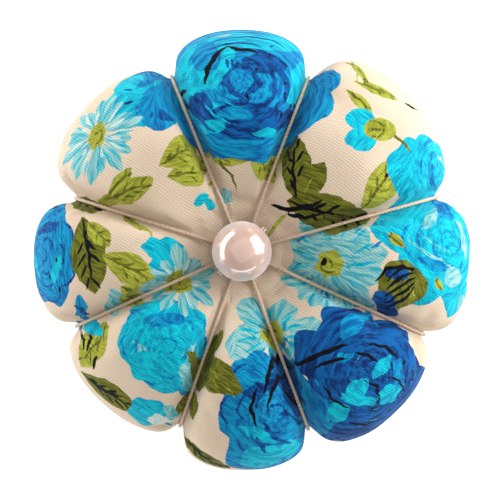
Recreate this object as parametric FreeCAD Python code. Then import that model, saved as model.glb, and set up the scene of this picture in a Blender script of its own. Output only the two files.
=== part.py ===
"""Segmented pin cushion: a stuffed cotton pouch drawn into eight lobes by one cord, with a
pearl bead sewn in its middle and a felt disc under it.

Millimetres and degrees, +Z up.  The origin is on the table, under the middle of the cushion's
outline.  Azimuths run counter-clockwise from +X about the stitching axis, which is the upright
line through the bead.  Every piece is built about that axis and shifted once, at the end.
"""
import FreeCAD
import Part
import math
import os

V = FreeCAD.Vector

# ---- lobes: lobe i lies between groove i and groove i + 1, counter-clockwise ----------------
GROOVE_AZIMUTHS = (15.5, 69.0, 112.0, 162.4, 204.3, 250.5, 290.5, 335.4)
GROOVE_REACHES = (34.6, 31.8, 32.2, 29.8, 31.0, 31.6, 32.4, 34.2)  # axis to cord at the rim
LOBE_REACHES = (39.2, 38.1, 36.6, 35.8, 35.5, 37.7, 38.2, 39.4)    # axis to the lobe's crest
LOBE_BLUNTNESS = 4               # power of the lobe's rounded section: 2 is round, 4 is blunt
LOBE_SWINGS = (-1, -0.86, -0.6, -0.3, 0, 0.3, 0.6, 0.86, 1)        # points across a section
SKIN_RAYS = (67, 60, 54, 48.5, 43, 37, 30, 22, 13, 4, -5, -13, -20, -26.5, -30.5)
CORNER_SHARE = 0.45              # share of the shorter run beside a corner that its arc takes
PROFILE_STEPS = 24               # points taken on each run or corner of a groove's profile
PROFILE_POINTS = 600             # points that a whole profile is measured at

# ---- heights above the table ---------------------------------------------------------------
CROWN_HEIGHT = 36.4              # highest of a lobe's crest, before its corner is rounded
GROOVE_CROWN_HEIGHT = 33.0       # highest corner of the cord's route over the top
RIM_HEIGHT = 17.0                # where the cushion is widest
HUB_HEIGHT = 28.3                # cord's middle line where it comes out under the bead

# ---- corners of the cord's route, before they are rounded ----------------------------------
CORD_CROWN_SHARE = 0.46          # share of the groove's reach to the top corner
CORD_SHOULDER_IN = 2.6           # upper outer corner, in from the groove's reach
CORD_SHOULDER_DROP = 4.8         # and down from the top corner
CORD_RIM_OUT = 1.2               # rim corner, out from the groove's reach
CORD_SKIRT_IN = 2.4              # lower outer corner, in from the groove's reach
CORD_SKIRT_DROP = 9.8            # and down from the rim
CORD_HEEL_OUT = 1.6              # turn on to the underside, out from the flat's radius
CORD_HEEL_TANGENT = 2.2          # longest tangent of that turn

# ---- corners of a lobe's crest, before they are rounded ------------------------------------
CREST_SLOPE_SHARE = 0.44         # share of the lobe's reach to the inner corner
CREST_SLOPE_DROP = 0.6
CREST_TOP_SHARE = 0.64           # share of the lobe's reach to the highest corner
CREST_SHOULDER_IN = 2.0
CREST_SHOULDER_DROP = 7.2
CREST_RIM_OUT = 0.7
CREST_HEEL_IN = 5.0
CREST_HEEL_DROP = 0.9            # heel corner below the flat, so the lobe meets it rounded

# ---- cloth, filling and base ---------------------------------------------------------------
FELT_THICKNESS = 1.6
FELT_RADIUS = 21.0
FLAT_RADIUS = 22.0               # flat underside of the cotton
COTTON_THICKNESS = 0.4
GATHER_THICKNESS = 1.3           # stacked pleats under the base card
MOUTH_RADIUS = 7.6               # opening left in the gathered underside
HEM_MARGIN = 1.0                 # mouth's edge to the middle of the gathering thread
CARD_RADIUS = 19.5
CARD_THICKNESS = 1.5
RING_MARGIN = 0.3                # flat pinch of cotton outside the cord's turn at the hub
RING_SLOPE = 0.8                 # from the pinch out to where a groove meets the cord's line
FLAT_STEP = 0.02                 # lowest a groove's line comes to the flat before it joins it

# ---- cord, threads and knots ---------------------------------------------------------------
CORD_DIAMETER = 0.7
STRAND_GAP = 0.19                # between neighbouring strands in the middle channel
SEAT_GAP = 0.19                  # cord to the bottom of its groove
SEAT_MARGIN = 0.2                # flat bottom of the groove at each side of the cord
CORD_TURN_RADIUS = 1.0           # tight turns over the edges of the channel
KNOT_DIAMETER = 1.5
KNOT_LENGTH = 2.4
KNOT_RADIUS_OUT = 5.6            # axis to the middle of the cord's knot
THREAD_DIAMETER = 0.44
GATHER_THREAD_DIAMETER = 0.4
THREAD_SPREAD = 0.3              # axis to the up and down strands of the bead's thread
THREAD_TWIN_GAP = 0.02           # between the two strands of the doubled thread
THREAD_KNOT_DIAMETER = 1.2

# ---- pearl bead ----------------------------------------------------------------------------
BEAD_DIAMETER = 10.0
BEAD_MOUTH_FLARE = 0.6           # how far the bore's mouth opens out, on its radius
BEAD_MOUTH_DEPTH = 0.8
BEAD_BORE_AZIMUTH = 45.0         # the bore is level and points between two cords

# ---- clearances ----------------------------------------------------------------------------
FIT_GAP = 0.05                   # pieces pressed together
FILLING_GAP = 0.15               # cotton to filling
HUB_GAP = 0.2                    # bead's thread over the cord's hub
CORD_GAP = 0.1                   # round a cord or a thread
BORE_GAP = 0.05                  # doubled thread to the wall of the bead's bore
KNOT_GAP = 0.2                   # cord's knot to the felt under it
THREAD_TURN_RADIUS = 0.6

# ---- sizes worked out from the ones above --------------------------------------------------
LOBE_COUNT = len(GROOVE_AZIMUTHS)
CORD_RADIUS = CORD_DIAMETER / 2
THREAD_RADIUS = THREAD_DIAMETER / 2
BEAD_RADIUS = BEAD_DIAMETER / 2
UNDERSIDE = FELT_THICKNESS + FIT_GAP
CORD_UNDER = UNDERSIDE - CORD_RADIUS - FIT_GAP
CARD_BOTTOM = UNDERSIDE + GATHER_THICKNESS + FIT_GAP
CARD_TOP = CARD_BOTTOM + CARD_THICKNESS
STRAND_SPACING = min((b - a) % 360 for a, b in zip(GROOVE_AZIMUTHS,
                                                   GROOVE_AZIMUTHS[1:] + GROOVE_AZIMUTHS[:1]))
CORD_RING_RADIUS = (CORD_DIAMETER + STRAND_GAP) / 2 / math.sin(math.radians(STRAND_SPACING / 2))
CORD_SEAT = CORD_RADIUS + SEAT_GAP
SEAT_WIDTH = CORD_DIAMETER + 2 * SEAT_MARGIN
TOP_RING_RADIUS = CORD_RING_RADIUS + CORD_TURN_RADIUS + RING_MARGIN
TOP_RING_HEIGHT = HUB_HEIGHT - CORD_TURN_RADIUS
POCKET_FLOOR = CORD_UNDER - KNOT_DIAMETER / 2 - KNOT_GAP
CHANNEL_RADIUS = CORD_RING_RADIUS + CORD_RADIUS + CORD_GAP
THREAD_PAIR = THREAD_RADIUS + THREAD_TWIN_GAP / 2   # middle of the pair to one strand
BEAD_BORE_RADIUS = THREAD_PAIR + THREAD_RADIUS + BORE_GAP
THREAD_WRAP = BEAD_RADIUS + CORD_GAP + THREAD_RADIUS
BEAD_HEIGHT = (HUB_HEIGHT + CORD_RADIUS + HUB_GAP + THREAD_RADIUS + CORD_GAP
               + math.sqrt(THREAD_WRAP ** 2 - (CORD_RING_RADIUS + CORD_TURN_RADIUS) ** 2))


# ---- small helpers -------------------------------------------------------------------------
def at(radius, azimuth, height):
    """Point at a radius and azimuth about the stitching axis."""
    angle = math.radians(azimuth)
    return V(radius * math.cos(angle), radius * math.sin(angle), height)


def rounded_wire(points, tangents):
    """Wire along the points, each inner corner turned by an arc of the given tangent length."""
    edges = []
    last = points[0]
    radii = []
    for before, corner, after, tangent in zip(points, points[1:], points[2:], tangents):
        way_in = (corner - before).normalize()
        way_out = (after - corner).normalize()
        turn = way_in.getAngle(way_out)
        radius = tangent / math.tan(turn / 2)
        start = corner - way_in * tangent
        end = corner + way_out * tangent
        inward = (way_out - way_in).normalize()
        middle = corner + inward * (radius / math.cos(turn / 2) - radius)
        edges.append(Part.LineSegment(last, start).toShape())
        edges.append(Part.Arc(start, middle, end).toShape())
        radii.append(radius)
        last = end
    edges.append(Part.LineSegment(last, points[-1]).toShape())
    return Part.Wire(edges), radii


def tube(wire, diameter):
    """Round tube swept along a wire."""
    start = wire.OrderedEdges[0]
    first = start.valueAt(start.FirstParameter)
    way = start.tangentAt(start.FirstParameter)
    section = Part.Wire(Part.makeCircle(diameter / 2, first, way))
    return wire.makePipeShell([section], True, False)


def tangent_lengths(points):
    """Largest tangent lengths that the runs beside each inner corner leave room for."""
    runs = [(b - a).Length for a, b in zip(points, points[1:])]
    return [CORNER_SHARE * min(a, b) for a, b in zip(runs, runs[1:])]


def profile_reach(wire, rays):
    """Distance from the middle of the rim's height to an upright profile, along each ray.

    The profile is drawn with its radius along X and its height along Z.
    """
    outline = []
    for point in wire.discretize(Number=PROFILE_POINTS):
        rise = point.z - RIM_HEIGHT
        outline.append((math.atan2(rise, point.x), math.hypot(point.x, rise)))
    outline.sort()
    reaches = []
    for ray in rays:
        angle = math.radians(ray)
        low = max((p for p in outline if p[0] <= angle), default=outline[0])
        high = min((p for p in outline if p[0] > angle), default=outline[-1])
        share = (angle - low[0]) / (high[0] - low[0]) if high[0] > low[0] else 0.0
        reaches.append(low[1] + (high[1] - low[1]) * share)
    return reaches


# ---- profiles ------------------------------------------------------------------------------
def cord_corners(reach):
    """Corners of the cord's route in one groove, from the hub over the rim to the underside."""
    return [
        V(CORD_RING_RADIUS, 0, HUB_HEIGHT),
        V(CORD_CROWN_SHARE * reach, 0, GROOVE_CROWN_HEIGHT),
        V(reach - CORD_SHOULDER_IN, 0, GROOVE_CROWN_HEIGHT - CORD_SHOULDER_DROP),
        V(reach + CORD_RIM_OUT, 0, RIM_HEIGHT),
        V(reach - CORD_SKIRT_IN, 0, RIM_HEIGHT - CORD_SKIRT_DROP),
        V(FLAT_RADIUS + CORD_HEEL_OUT, 0, CORD_UNDER),
        V(CORD_RING_RADIUS, 0, CORD_UNDER),
    ]


def cord_tangents(corners):
    """Tangent lengths at the five rounded corners of a groove's route."""
    tangents = tangent_lengths(corners)
    tangents[-1] = min(tangents[-1], CORD_HEEL_TANGENT)
    return tangents


def groove_profile(reach):
    """Bottom line of a groove: the cord's route, lowered into the cushion by its seat."""
    corners = cord_corners(reach)
    route, _radii = rounded_wire(corners, cord_tangents(corners))
    inside = []
    for edge in route.OrderedEdges:
        length = edge.LastParameter - edge.FirstParameter
        for step in range(PROFILE_STEPS):
            parameter = edge.FirstParameter + length * step / PROFILE_STEPS
            point = edge.valueAt(parameter)
            way = edge.tangentAt(parameter)
            inside.append(point + V(way.z, 0, -way.x) * CORD_SEAT)
    kept = [p for p in inside if p.x > TOP_RING_RADIUS + RING_SLOPE and p.z > UNDERSIDE + FLAT_STEP]
    upper = V(TOP_RING_RADIUS, 0, TOP_RING_HEIGHT)
    lower = V(FLAT_RADIUS, 0, UNDERSIDE)
    return Part.makePolygon([upper] + [p for p in kept if p.x > FLAT_RADIUS - 1 or p.z > RIM_HEIGHT]
                            + [lower])


def crest_profile(reach):
    """Crest line of a lobe, from the pinched ring over the crown and rim to the flat underside."""
    corners = [
        V(TOP_RING_RADIUS, 0, TOP_RING_HEIGHT),
        V(CREST_SLOPE_SHARE * reach, 0, CROWN_HEIGHT - CREST_SLOPE_DROP),
        V(CREST_TOP_SHARE * reach, 0, CROWN_HEIGHT),
        V(reach - CREST_SHOULDER_IN, 0, CROWN_HEIGHT - CREST_SHOULDER_DROP),
        V(reach + CREST_RIM_OUT, 0, RIM_HEIGHT),
        V(reach - CREST_HEEL_IN, 0, UNDERSIDE - CREST_HEEL_DROP),
        V(FLAT_RADIUS, 0, UNDERSIDE),
    ]
    wire, _radii = rounded_wire(corners, tangent_lengths(corners))
    return wire


def ray_angles():
    """Rays from the middle of the rim's height, one per station of the cushion's skin."""
    top = math.degrees(math.atan2(TOP_RING_HEIGHT - RIM_HEIGHT, TOP_RING_RADIUS))
    bottom = math.degrees(math.atan2(UNDERSIDE - RIM_HEIGHT, FLAT_RADIUS))
    return [top, *SKIN_RAYS, bottom]


# ---- skin of the cushion -------------------------------------------------------------------
def skin_loop(valleys, crests, ray, inset):
    """Closed wire round the skin on one ray's cone, with one curve for each lobe."""
    slope = math.radians(ray)
    edges = []
    for lobe in range(LOBE_COUNT):
        after = (lobe + 1) % LOBE_COUNT
        width = (GROOVE_AZIMUTHS[after] - GROOVE_AZIMUTHS[lobe]) % 360
        span = math.radians(width) * (valleys[lobe] + valleys[after]) / 2 * math.cos(slope)
        seat = SEAT_WIDTH / span
        across = [swing * (1 - seat) for swing in LOBE_SWINGS]
        points = []
        for place in [-1] + across + [1]:
            share = (place + 1) / 2
            swell = 1 - min(1, abs(place) / (1 - seat)) ** LOBE_BLUNTNESS
            valley = valleys[lobe] * (1 - share) + valleys[after] * share
            reach = valley + (crests[lobe] - valley) * swell - inset
            azimuth = GROOVE_AZIMUTHS[lobe] + width * share
            points.append(at(reach * math.cos(slope), azimuth, RIM_HEIGHT + reach * math.sin(slope)))
        curve = Part.BSplineCurve()
        curve.interpolate(points)
        edges.append(curve.toShape())
    return Part.Wire(edges)


def skin_solid(inset, floor):
    """Solid that fills the cushion's skin, moved in by an inset and cut level at a floor."""
    rays = ray_angles()
    valleys = [profile_reach(groove_profile(reach), rays) for reach in GROOVE_REACHES]
    crests = [profile_reach(crest_profile(reach), rays) for reach in LOBE_REACHES]
    loops = []
    for station, ray in enumerate(rays):
        valley_row = [row[station] for row in valleys]
        crest_row = [row[station] for row in crests]
        loops.append(skin_loop(valley_row, crest_row, ray, inset))
    solid = Part.makeLoft(loops, True, False)
    if floor > UNDERSIDE:
        below = Part.makeCylinder(2 * max(LOBE_REACHES), floor)
        solid = solid.cut(below)
    return solid


def make_cover():
    """Printed cotton: one round of cloth over everything, gathered to a mouth underneath."""
    cover = skin_solid(0, UNDERSIDE).cut(skin_solid(COTTON_THICKNESS, UNDERSIDE + GATHER_THICKNESS))
    cord_hole = Part.makeCylinder(CHANNEL_RADIUS, CROWN_HEIGHT, V(0, 0, CARD_TOP))
    mouth = Part.makeCylinder(MOUTH_RADIUS, CARD_TOP)
    hem = Part.makeTorus(MOUTH_RADIUS + HEM_MARGIN, GATHER_THREAD_DIAMETER / 2 + FIT_GAP,
                         V(0, 0, UNDERSIDE + GATHER_THICKNESS / 2))
    return cover.cut([cord_hole, mouth, hem])


def make_filling():
    """Polyester fibre: fills the cotton, sits on and round the card, with the cord's channel."""
    filling = skin_solid(COTTON_THICKNESS + FILLING_GAP, CARD_BOTTOM)
    channel = Part.makeCylinder(CHANNEL_RADIUS, CROWN_HEIGHT)
    pocket = Part.makeCylinder(CARD_RADIUS + FIT_GAP, CARD_TOP + FIT_GAP)
    return filling.cut([channel, pocket])


def make_card():
    """Stiff disc that keeps the base flat, with a hole for the cord and the thread."""
    card = Part.makeCylinder(CARD_RADIUS, CARD_THICKNESS, V(0, 0, CARD_BOTTOM))
    return card.cut(Part.makeCylinder(CHANNEL_RADIUS, CARD_TOP))


def make_felt():
    """Felt disc glued over the gathers, pressed in by the cord's eight runs and the knots."""
    felt = Part.makeCylinder(FELT_RADIUS, FELT_THICKNESS)
    pocket = Part.makeCylinder(MOUTH_RADIUS, FELT_THICKNESS, V(0, 0, POCKET_FLOOR))
    dents = [pocket]
    width = CORD_DIAMETER + CORD_GAP
    for azimuth in GROOVE_AZIMUTHS:
        run = Part.makeCylinder(width / 2, 2 * FELT_RADIUS, V(0, 0, CORD_UNDER), V(1, 0, 0))
        slot = Part.makeBox(2 * FELT_RADIUS, width, FELT_THICKNESS, V(0, -width / 2, CORD_UNDER))
        dent = run.fuse(slot)
        dent.rotate(V(0, 0, 0), V(0, 0, 1), azimuth)
        dents.append(dent)
    return felt.cut(dents)


# ---- cord, thread and knots ----------------------------------------------------------------
def make_cord():
    """One cord: up the middle, over the top, round the rim and back under, once per groove."""
    last = GROOVE_AZIMUTHS[-1]
    points = [at(KNOT_RADIUS_OUT - KNOT_LENGTH / 2, last, CORD_UNDER)]
    tangents = []
    for azimuth in GROOVE_AZIMUTHS:
        corners = cord_corners(GROOVE_REACHES[GROOVE_AZIMUTHS.index(azimuth)])
        points.append(at(CORD_RING_RADIUS, last, CORD_UNDER))
        points += [at(corner.x, azimuth, corner.z) for corner in corners[:-1]]
        tangents += [None, None] + cord_tangents(corners)
        last = azimuth
    points.append(at(KNOT_RADIUS_OUT + KNOT_LENGTH / 2, last, CORD_UNDER))
    for place, tangent in enumerate(tangents):
        if tangent is None:
            before, corner, after = points[place:place + 3]
            turn = (corner - before).getAngle(after - corner)
            tangents[place] = CORD_TURN_RADIUS * math.tan(turn / 2)
    wire, radii = rounded_wire(points, tangents)
    cord = tube(wire, CORD_DIAMETER)
    section = math.pi * CORD_RADIUS ** 2
    print(f"cord {wire.Length:.1f} mm, radii {min(radii):.2f} to {max(radii):.1f},"
          f" volume {cord.Volume:.2f} of {section * wire.Length:.2f}")
    return cord


def make_cord_knot():
    """Knot that ties the cord's two ends, a barrel in line with them."""
    half = KNOT_LENGTH / 2
    waist = KNOT_DIAMETER / 2
    side = Part.Arc(V(CORD_RADIUS, 0, -half), V(waist, 0, 0), V(CORD_RADIUS, 0, half)).toShape()
    outline = Part.makePolygon([V(CORD_RADIUS, 0, half), V(0, 0, half), V(0, 0, -half),
                                V(CORD_RADIUS, 0, -half)])
    knot = Part.Face(Part.Wire([side] + outline.Edges)).revolve(V(0, 0, 0), V(0, 0, 1), 360)
    knot.rotate(V(0, 0, 0), V(0, 1, 0), 90)
    knot.translate(V(KNOT_RADIUS_OUT, 0, CORD_UNDER))
    knot.rotate(V(0, 0, 0), V(0, 0, 1), GROOVE_AZIMUTHS[-1])
    return knot


def arc_edge(centre, radius, start, end):
    """Arc in the upright XZ plane between two angles, taken the short way."""
    def on_circle(angle):
        turn = math.radians(angle)
        return centre + V(radius * math.cos(turn), 0, radius * math.sin(turn))
    return Part.Arc(on_circle(start), on_circle((start + end) / 2), on_circle(end)).toShape()


def thread_wire():
    """Route of the bead's thread: up the middle, round the bead, through it and back down."""
    middle = V(0, 0, BEAD_HEIGHT)
    turn = THREAD_TURN_RADIUS
    foot_out = THREAD_SPREAD + turn
    foot_rise = math.sqrt((THREAD_WRAP + turn) ** 2 - foot_out ** 2)
    foot = V(foot_out, 0, BEAD_HEIGHT - foot_rise)
    mouth = V(math.sqrt((THREAD_WRAP - turn) ** 2 - turn ** 2), 0, BEAD_HEIGHT - turn)
    foot_angle = math.degrees(math.atan2(foot_rise, -foot_out))
    mouth_angle = -math.degrees(math.atan2(turn, mouth.x))
    right = [
        Part.LineSegment(V(THREAD_SPREAD, 0, CORD_UNDER), V(THREAD_SPREAD, 0, foot.z)).toShape(),
        arc_edge(foot, turn, 180, foot_angle),
        arc_edge(middle, THREAD_WRAP, foot_angle - 180, mouth_angle),
        arc_edge(mouth, turn, mouth_angle, 90),
    ]
    bore = Part.LineSegment(mouth + V(0, 0, turn), V(-mouth.x, 0, BEAD_HEIGHT)).toShape()
    left = [edge.copy() for edge in reversed(right)]
    for edge in left:
        edge.rotate(V(0, 0, 0), V(0, 0, 1), 180)
    return Part.Wire(right + [bore] + left)


def make_bead_thread():
    """Doubled thread that holds the bead, tied off under the cushion."""
    thread = Part.makeSphere(THREAD_KNOT_DIAMETER / 2, V(0, 0, CORD_UNDER))
    for side in (-1, 1):
        wire = thread_wire()
        wire.translate(V(0, side * THREAD_PAIR, 0))
        thread = thread.fuse(tube(wire, THREAD_DIAMETER))
    thread.rotate(V(0, 0, 0), V(0, 0, 1), BEAD_BORE_AZIMUTH)
    return thread


def make_gathering_thread():
    """Thread drawn tight in the hem of the cotton's mouth."""
    return Part.makeTorus(MOUTH_RADIUS + HEM_MARGIN, GATHER_THREAD_DIAMETER / 2,
                          V(0, 0, UNDERSIDE + GATHER_THICKNESS / 2))


def make_bead():
    """Pearl bead with a level bore, flared where the thread comes out."""
    bead = Part.makeSphere(BEAD_RADIUS)
    bore = Part.makeCylinder(BEAD_BORE_RADIUS, 2 * BEAD_DIAMETER, V(0, 0, -BEAD_DIAMETER))
    reach = BEAD_RADIUS - BEAD_MOUTH_DEPTH
    flare_radius = BEAD_BORE_RADIUS + BEAD_MOUTH_FLARE * BEAD_RADIUS / BEAD_MOUTH_DEPTH
    flares = [Part.makeCone(BEAD_BORE_RADIUS, flare_radius, BEAD_RADIUS,
                            V(0, 0, side * reach), V(0, 0, side)) for side in (-1, 1)]
    bead = bead.cut([bore] + flares)
    bead.rotate(V(0, 0, 0), V(0, 1, 0), 90)
    bead.rotate(V(0, 0, 0), V(0, 0, 1), BEAD_BORE_AZIMUTH)
    bead.translate(V(0, 0, BEAD_HEIGHT))
    return bead


# ---- assembly ------------------------------------------------------------------------------
def main():
    """Build every piece, centre the cushion over the origin and write one file per piece."""
    pieces = {
        "cotton_cover": make_cover(),
        "fibre_filling": make_filling(),
        "base_card": make_card(),
        "base_felt": make_felt(),
        "segment_cord": make_cord(),
        "segment_cord_knot": make_cord_knot(),
        "gathering_thread": make_gathering_thread(),
        "pearl_bead": make_bead(),
        "bead_thread": make_bead_thread(),
    }
    box = pieces["cotton_cover"].BoundBox
    shift = V(-(box.XMin + box.XMax) / 2, -(box.YMin + box.YMax) / 2, 0)
    print(f"stitching axis at {shift.x:.3f}, {shift.y:.3f}; bead middle at {BEAD_HEIGHT:.3f}")
    os.makedirs("parts", exist_ok=True)
    for name, shape in pieces.items():
        shape.translate(shift)
        shape.exportStep(f"parts/{name}.step")
        print(f"{name}: {len(shape.Solids)} solid, {shape.Volume:.1f} mm3, valid {shape.isValid()}")


main()
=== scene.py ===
"""Looks of a segmented pin cushion: printed cotton, twisted cord, pearl bead and felt base.

The frame gives every place.  Meshes are worked out in millimetres and written in metres.
"""
import logging
from dataclasses import dataclass, field
from enum import Enum
from math import asin, atan2, cos, degrees, hypot, log, pi, radians, sin

import bmesh
import bpy
from bpy.types import Material, Mesh, Node, NodeSocket, NodeTree, Object
import numpy as np
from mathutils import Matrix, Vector
from mathutils.bvhtree import BVHTree


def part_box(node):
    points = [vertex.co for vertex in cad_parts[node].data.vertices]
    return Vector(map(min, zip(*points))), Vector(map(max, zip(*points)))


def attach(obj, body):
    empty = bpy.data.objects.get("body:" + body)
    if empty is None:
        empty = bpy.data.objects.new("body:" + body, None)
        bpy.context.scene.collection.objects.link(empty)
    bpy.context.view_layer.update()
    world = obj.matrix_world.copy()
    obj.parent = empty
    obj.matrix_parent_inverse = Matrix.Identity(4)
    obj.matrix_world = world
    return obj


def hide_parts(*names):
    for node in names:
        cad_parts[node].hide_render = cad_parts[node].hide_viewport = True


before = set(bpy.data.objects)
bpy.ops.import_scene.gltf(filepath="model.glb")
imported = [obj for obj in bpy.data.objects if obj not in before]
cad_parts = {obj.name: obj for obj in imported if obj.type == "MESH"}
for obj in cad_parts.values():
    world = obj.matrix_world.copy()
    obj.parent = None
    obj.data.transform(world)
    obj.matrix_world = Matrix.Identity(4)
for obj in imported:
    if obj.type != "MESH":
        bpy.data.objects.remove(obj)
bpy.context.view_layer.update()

MM = 0.001  # metres in a millimetre
LOG = logging.getLogger("pin_cushion")
Place = tuple[float, float]  # two sizes or x and y, in millimetres


# -- node and mesh helpers
def linear(hex_colour: str) -> tuple[float, float, float, float]:
    """Turn an sRGB hex colour into linear light.

    Args:
        hex_colour: Six hex digits.

    Returns:
        Red, green, blue and an alpha of one.
    """
    channels = [int(hex_colour[place:place + 2], 16) / 255 for place in (0, 2, 4)]
    light = [c / 12.92 if c <= 0.04045 else ((c + 0.055) / 1.055) ** 2.4 for c in channels]
    return (*light, 1.0)


def add_node(tree: NodeTree, kind: str, links: dict | None = None, **settings: object) -> Node:
    """Add a node with its settings and what feeds its inputs.

    Args:
        tree: Node tree that gets the node.
        kind: Blender's name for the node's type.
        links: Input name or number to an output socket that feeds it, or to a plain value.
        settings: Properties of the node itself.

    Returns:
        The new node.
    """
    node = tree.nodes.new(kind)
    for name, value in settings.items():
        setattr(node, name, value)
    for name, value in (links or {}).items():
        if isinstance(value, NodeSocket):
            tree.links.new(value, node.inputs[name])
        else:
            node.inputs[name].default_value = value
    return node


def blank_material(name: str) -> tuple[Material, NodeTree]:
    """Make a material with an empty node tree.

    Args:
        name: What the material is.

    Returns:
        The material and its tree.
    """
    material = bpy.data.materials.new(name)
    material.use_nodes = True
    material.node_tree.nodes.clear()
    return material, material.node_tree


def mesh_object(name: str, points: np.ndarray, faces: list | np.ndarray) -> Object:
    """Make a smooth-shaded object from points in millimetres.

    Args:
        name: Name of the object and its mesh.
        points: Corner points, one row each.
        faces: Corner numbers of each face.

    Returns:
        The object, linked to the scene.
    """
    mesh = bpy.data.meshes.new(name)
    mesh.from_pydata((np.asarray(points) * MM).tolist(), [], [list(f) for f in faces])
    mesh.polygons.foreach_set("use_smooth", [True] * len(mesh.polygons))
    mesh.update()
    piece = bpy.data.objects.new(name, mesh)
    bpy.context.scene.collection.objects.link(piece)
    return piece


def applied(piece: Object) -> Object:
    """Turn an object and its modifiers into a plain mesh object of the same name.

    Args:
        piece: Object with live modifiers; it is removed.

    Returns:
        The plain object.
    """
    graph = bpy.context.evaluated_depsgraph_get()
    mesh = bpy.data.meshes.new_from_object(piece.evaluated_get(graph),
                                           preserve_all_data_layers=True, depsgraph=graph)
    name = piece.name
    bpy.data.objects.remove(piece)
    plain = bpy.data.objects.new(name, mesh)
    mesh.name = name
    bpy.context.scene.collection.objects.link(plain)
    return plain


def mesh_points(mesh: Mesh) -> np.ndarray:
    """Corner points of a mesh in millimetres.

    Args:
        mesh: Mesh to read.

    Returns:
        One row for each corner.
    """
    flat = np.empty(len(mesh.vertices) * 3)
    mesh.vertices.foreach_get("co", flat)
    return flat.reshape(-1, 3) / MM


def node_tree(node: str) -> BVHTree:
    """Search tree of a CAD node's faces, in metres.

    Args:
        node: Name of the CAD node.

    Returns:
        Tree for rays and nearest places.
    """
    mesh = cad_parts[node].data
    return BVHTree.FromPolygons([v.co.copy() for v in mesh.vertices],
                                [tuple(p.vertices) for p in mesh.polygons])


def mesh_normals(mesh: Mesh) -> np.ndarray:
    """Corner normals of a mesh.

    Args:
        mesh: Mesh to read.

    Returns:
        One row for each corner.
    """
    flat = np.empty(len(mesh.vertices) * 3, dtype=np.float32)
    mesh.vertex_normals.foreach_get("vector", flat)
    return flat.reshape(-1, 3).astype(float)


def ripple(points: np.ndarray, wavelength: float, seed: float) -> np.ndarray:
    """Smooth repeatable noise between about -1 and 1, as a sum of waves across the points.

    Args:
        points: Places, whose x and y count.
        wavelength: Rough distance between crests.
        seed: Number that picks the pattern.

    Returns:
        One value for each point.
    """
    total = np.zeros(len(points))
    for wave in range(5):
        angle = seed * 1.7 + wave * 2.399
        pull = 1 + 0.37 * sin(seed * 3.1 + wave * 1.3)
        way = np.array([cos(angle), sin(angle)]) * 2 * pi * pull / wavelength
        total += np.sin(points[:, :2] @ way + seed * 5.3 + wave * 1.9)
    return total / 3.2


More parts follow.
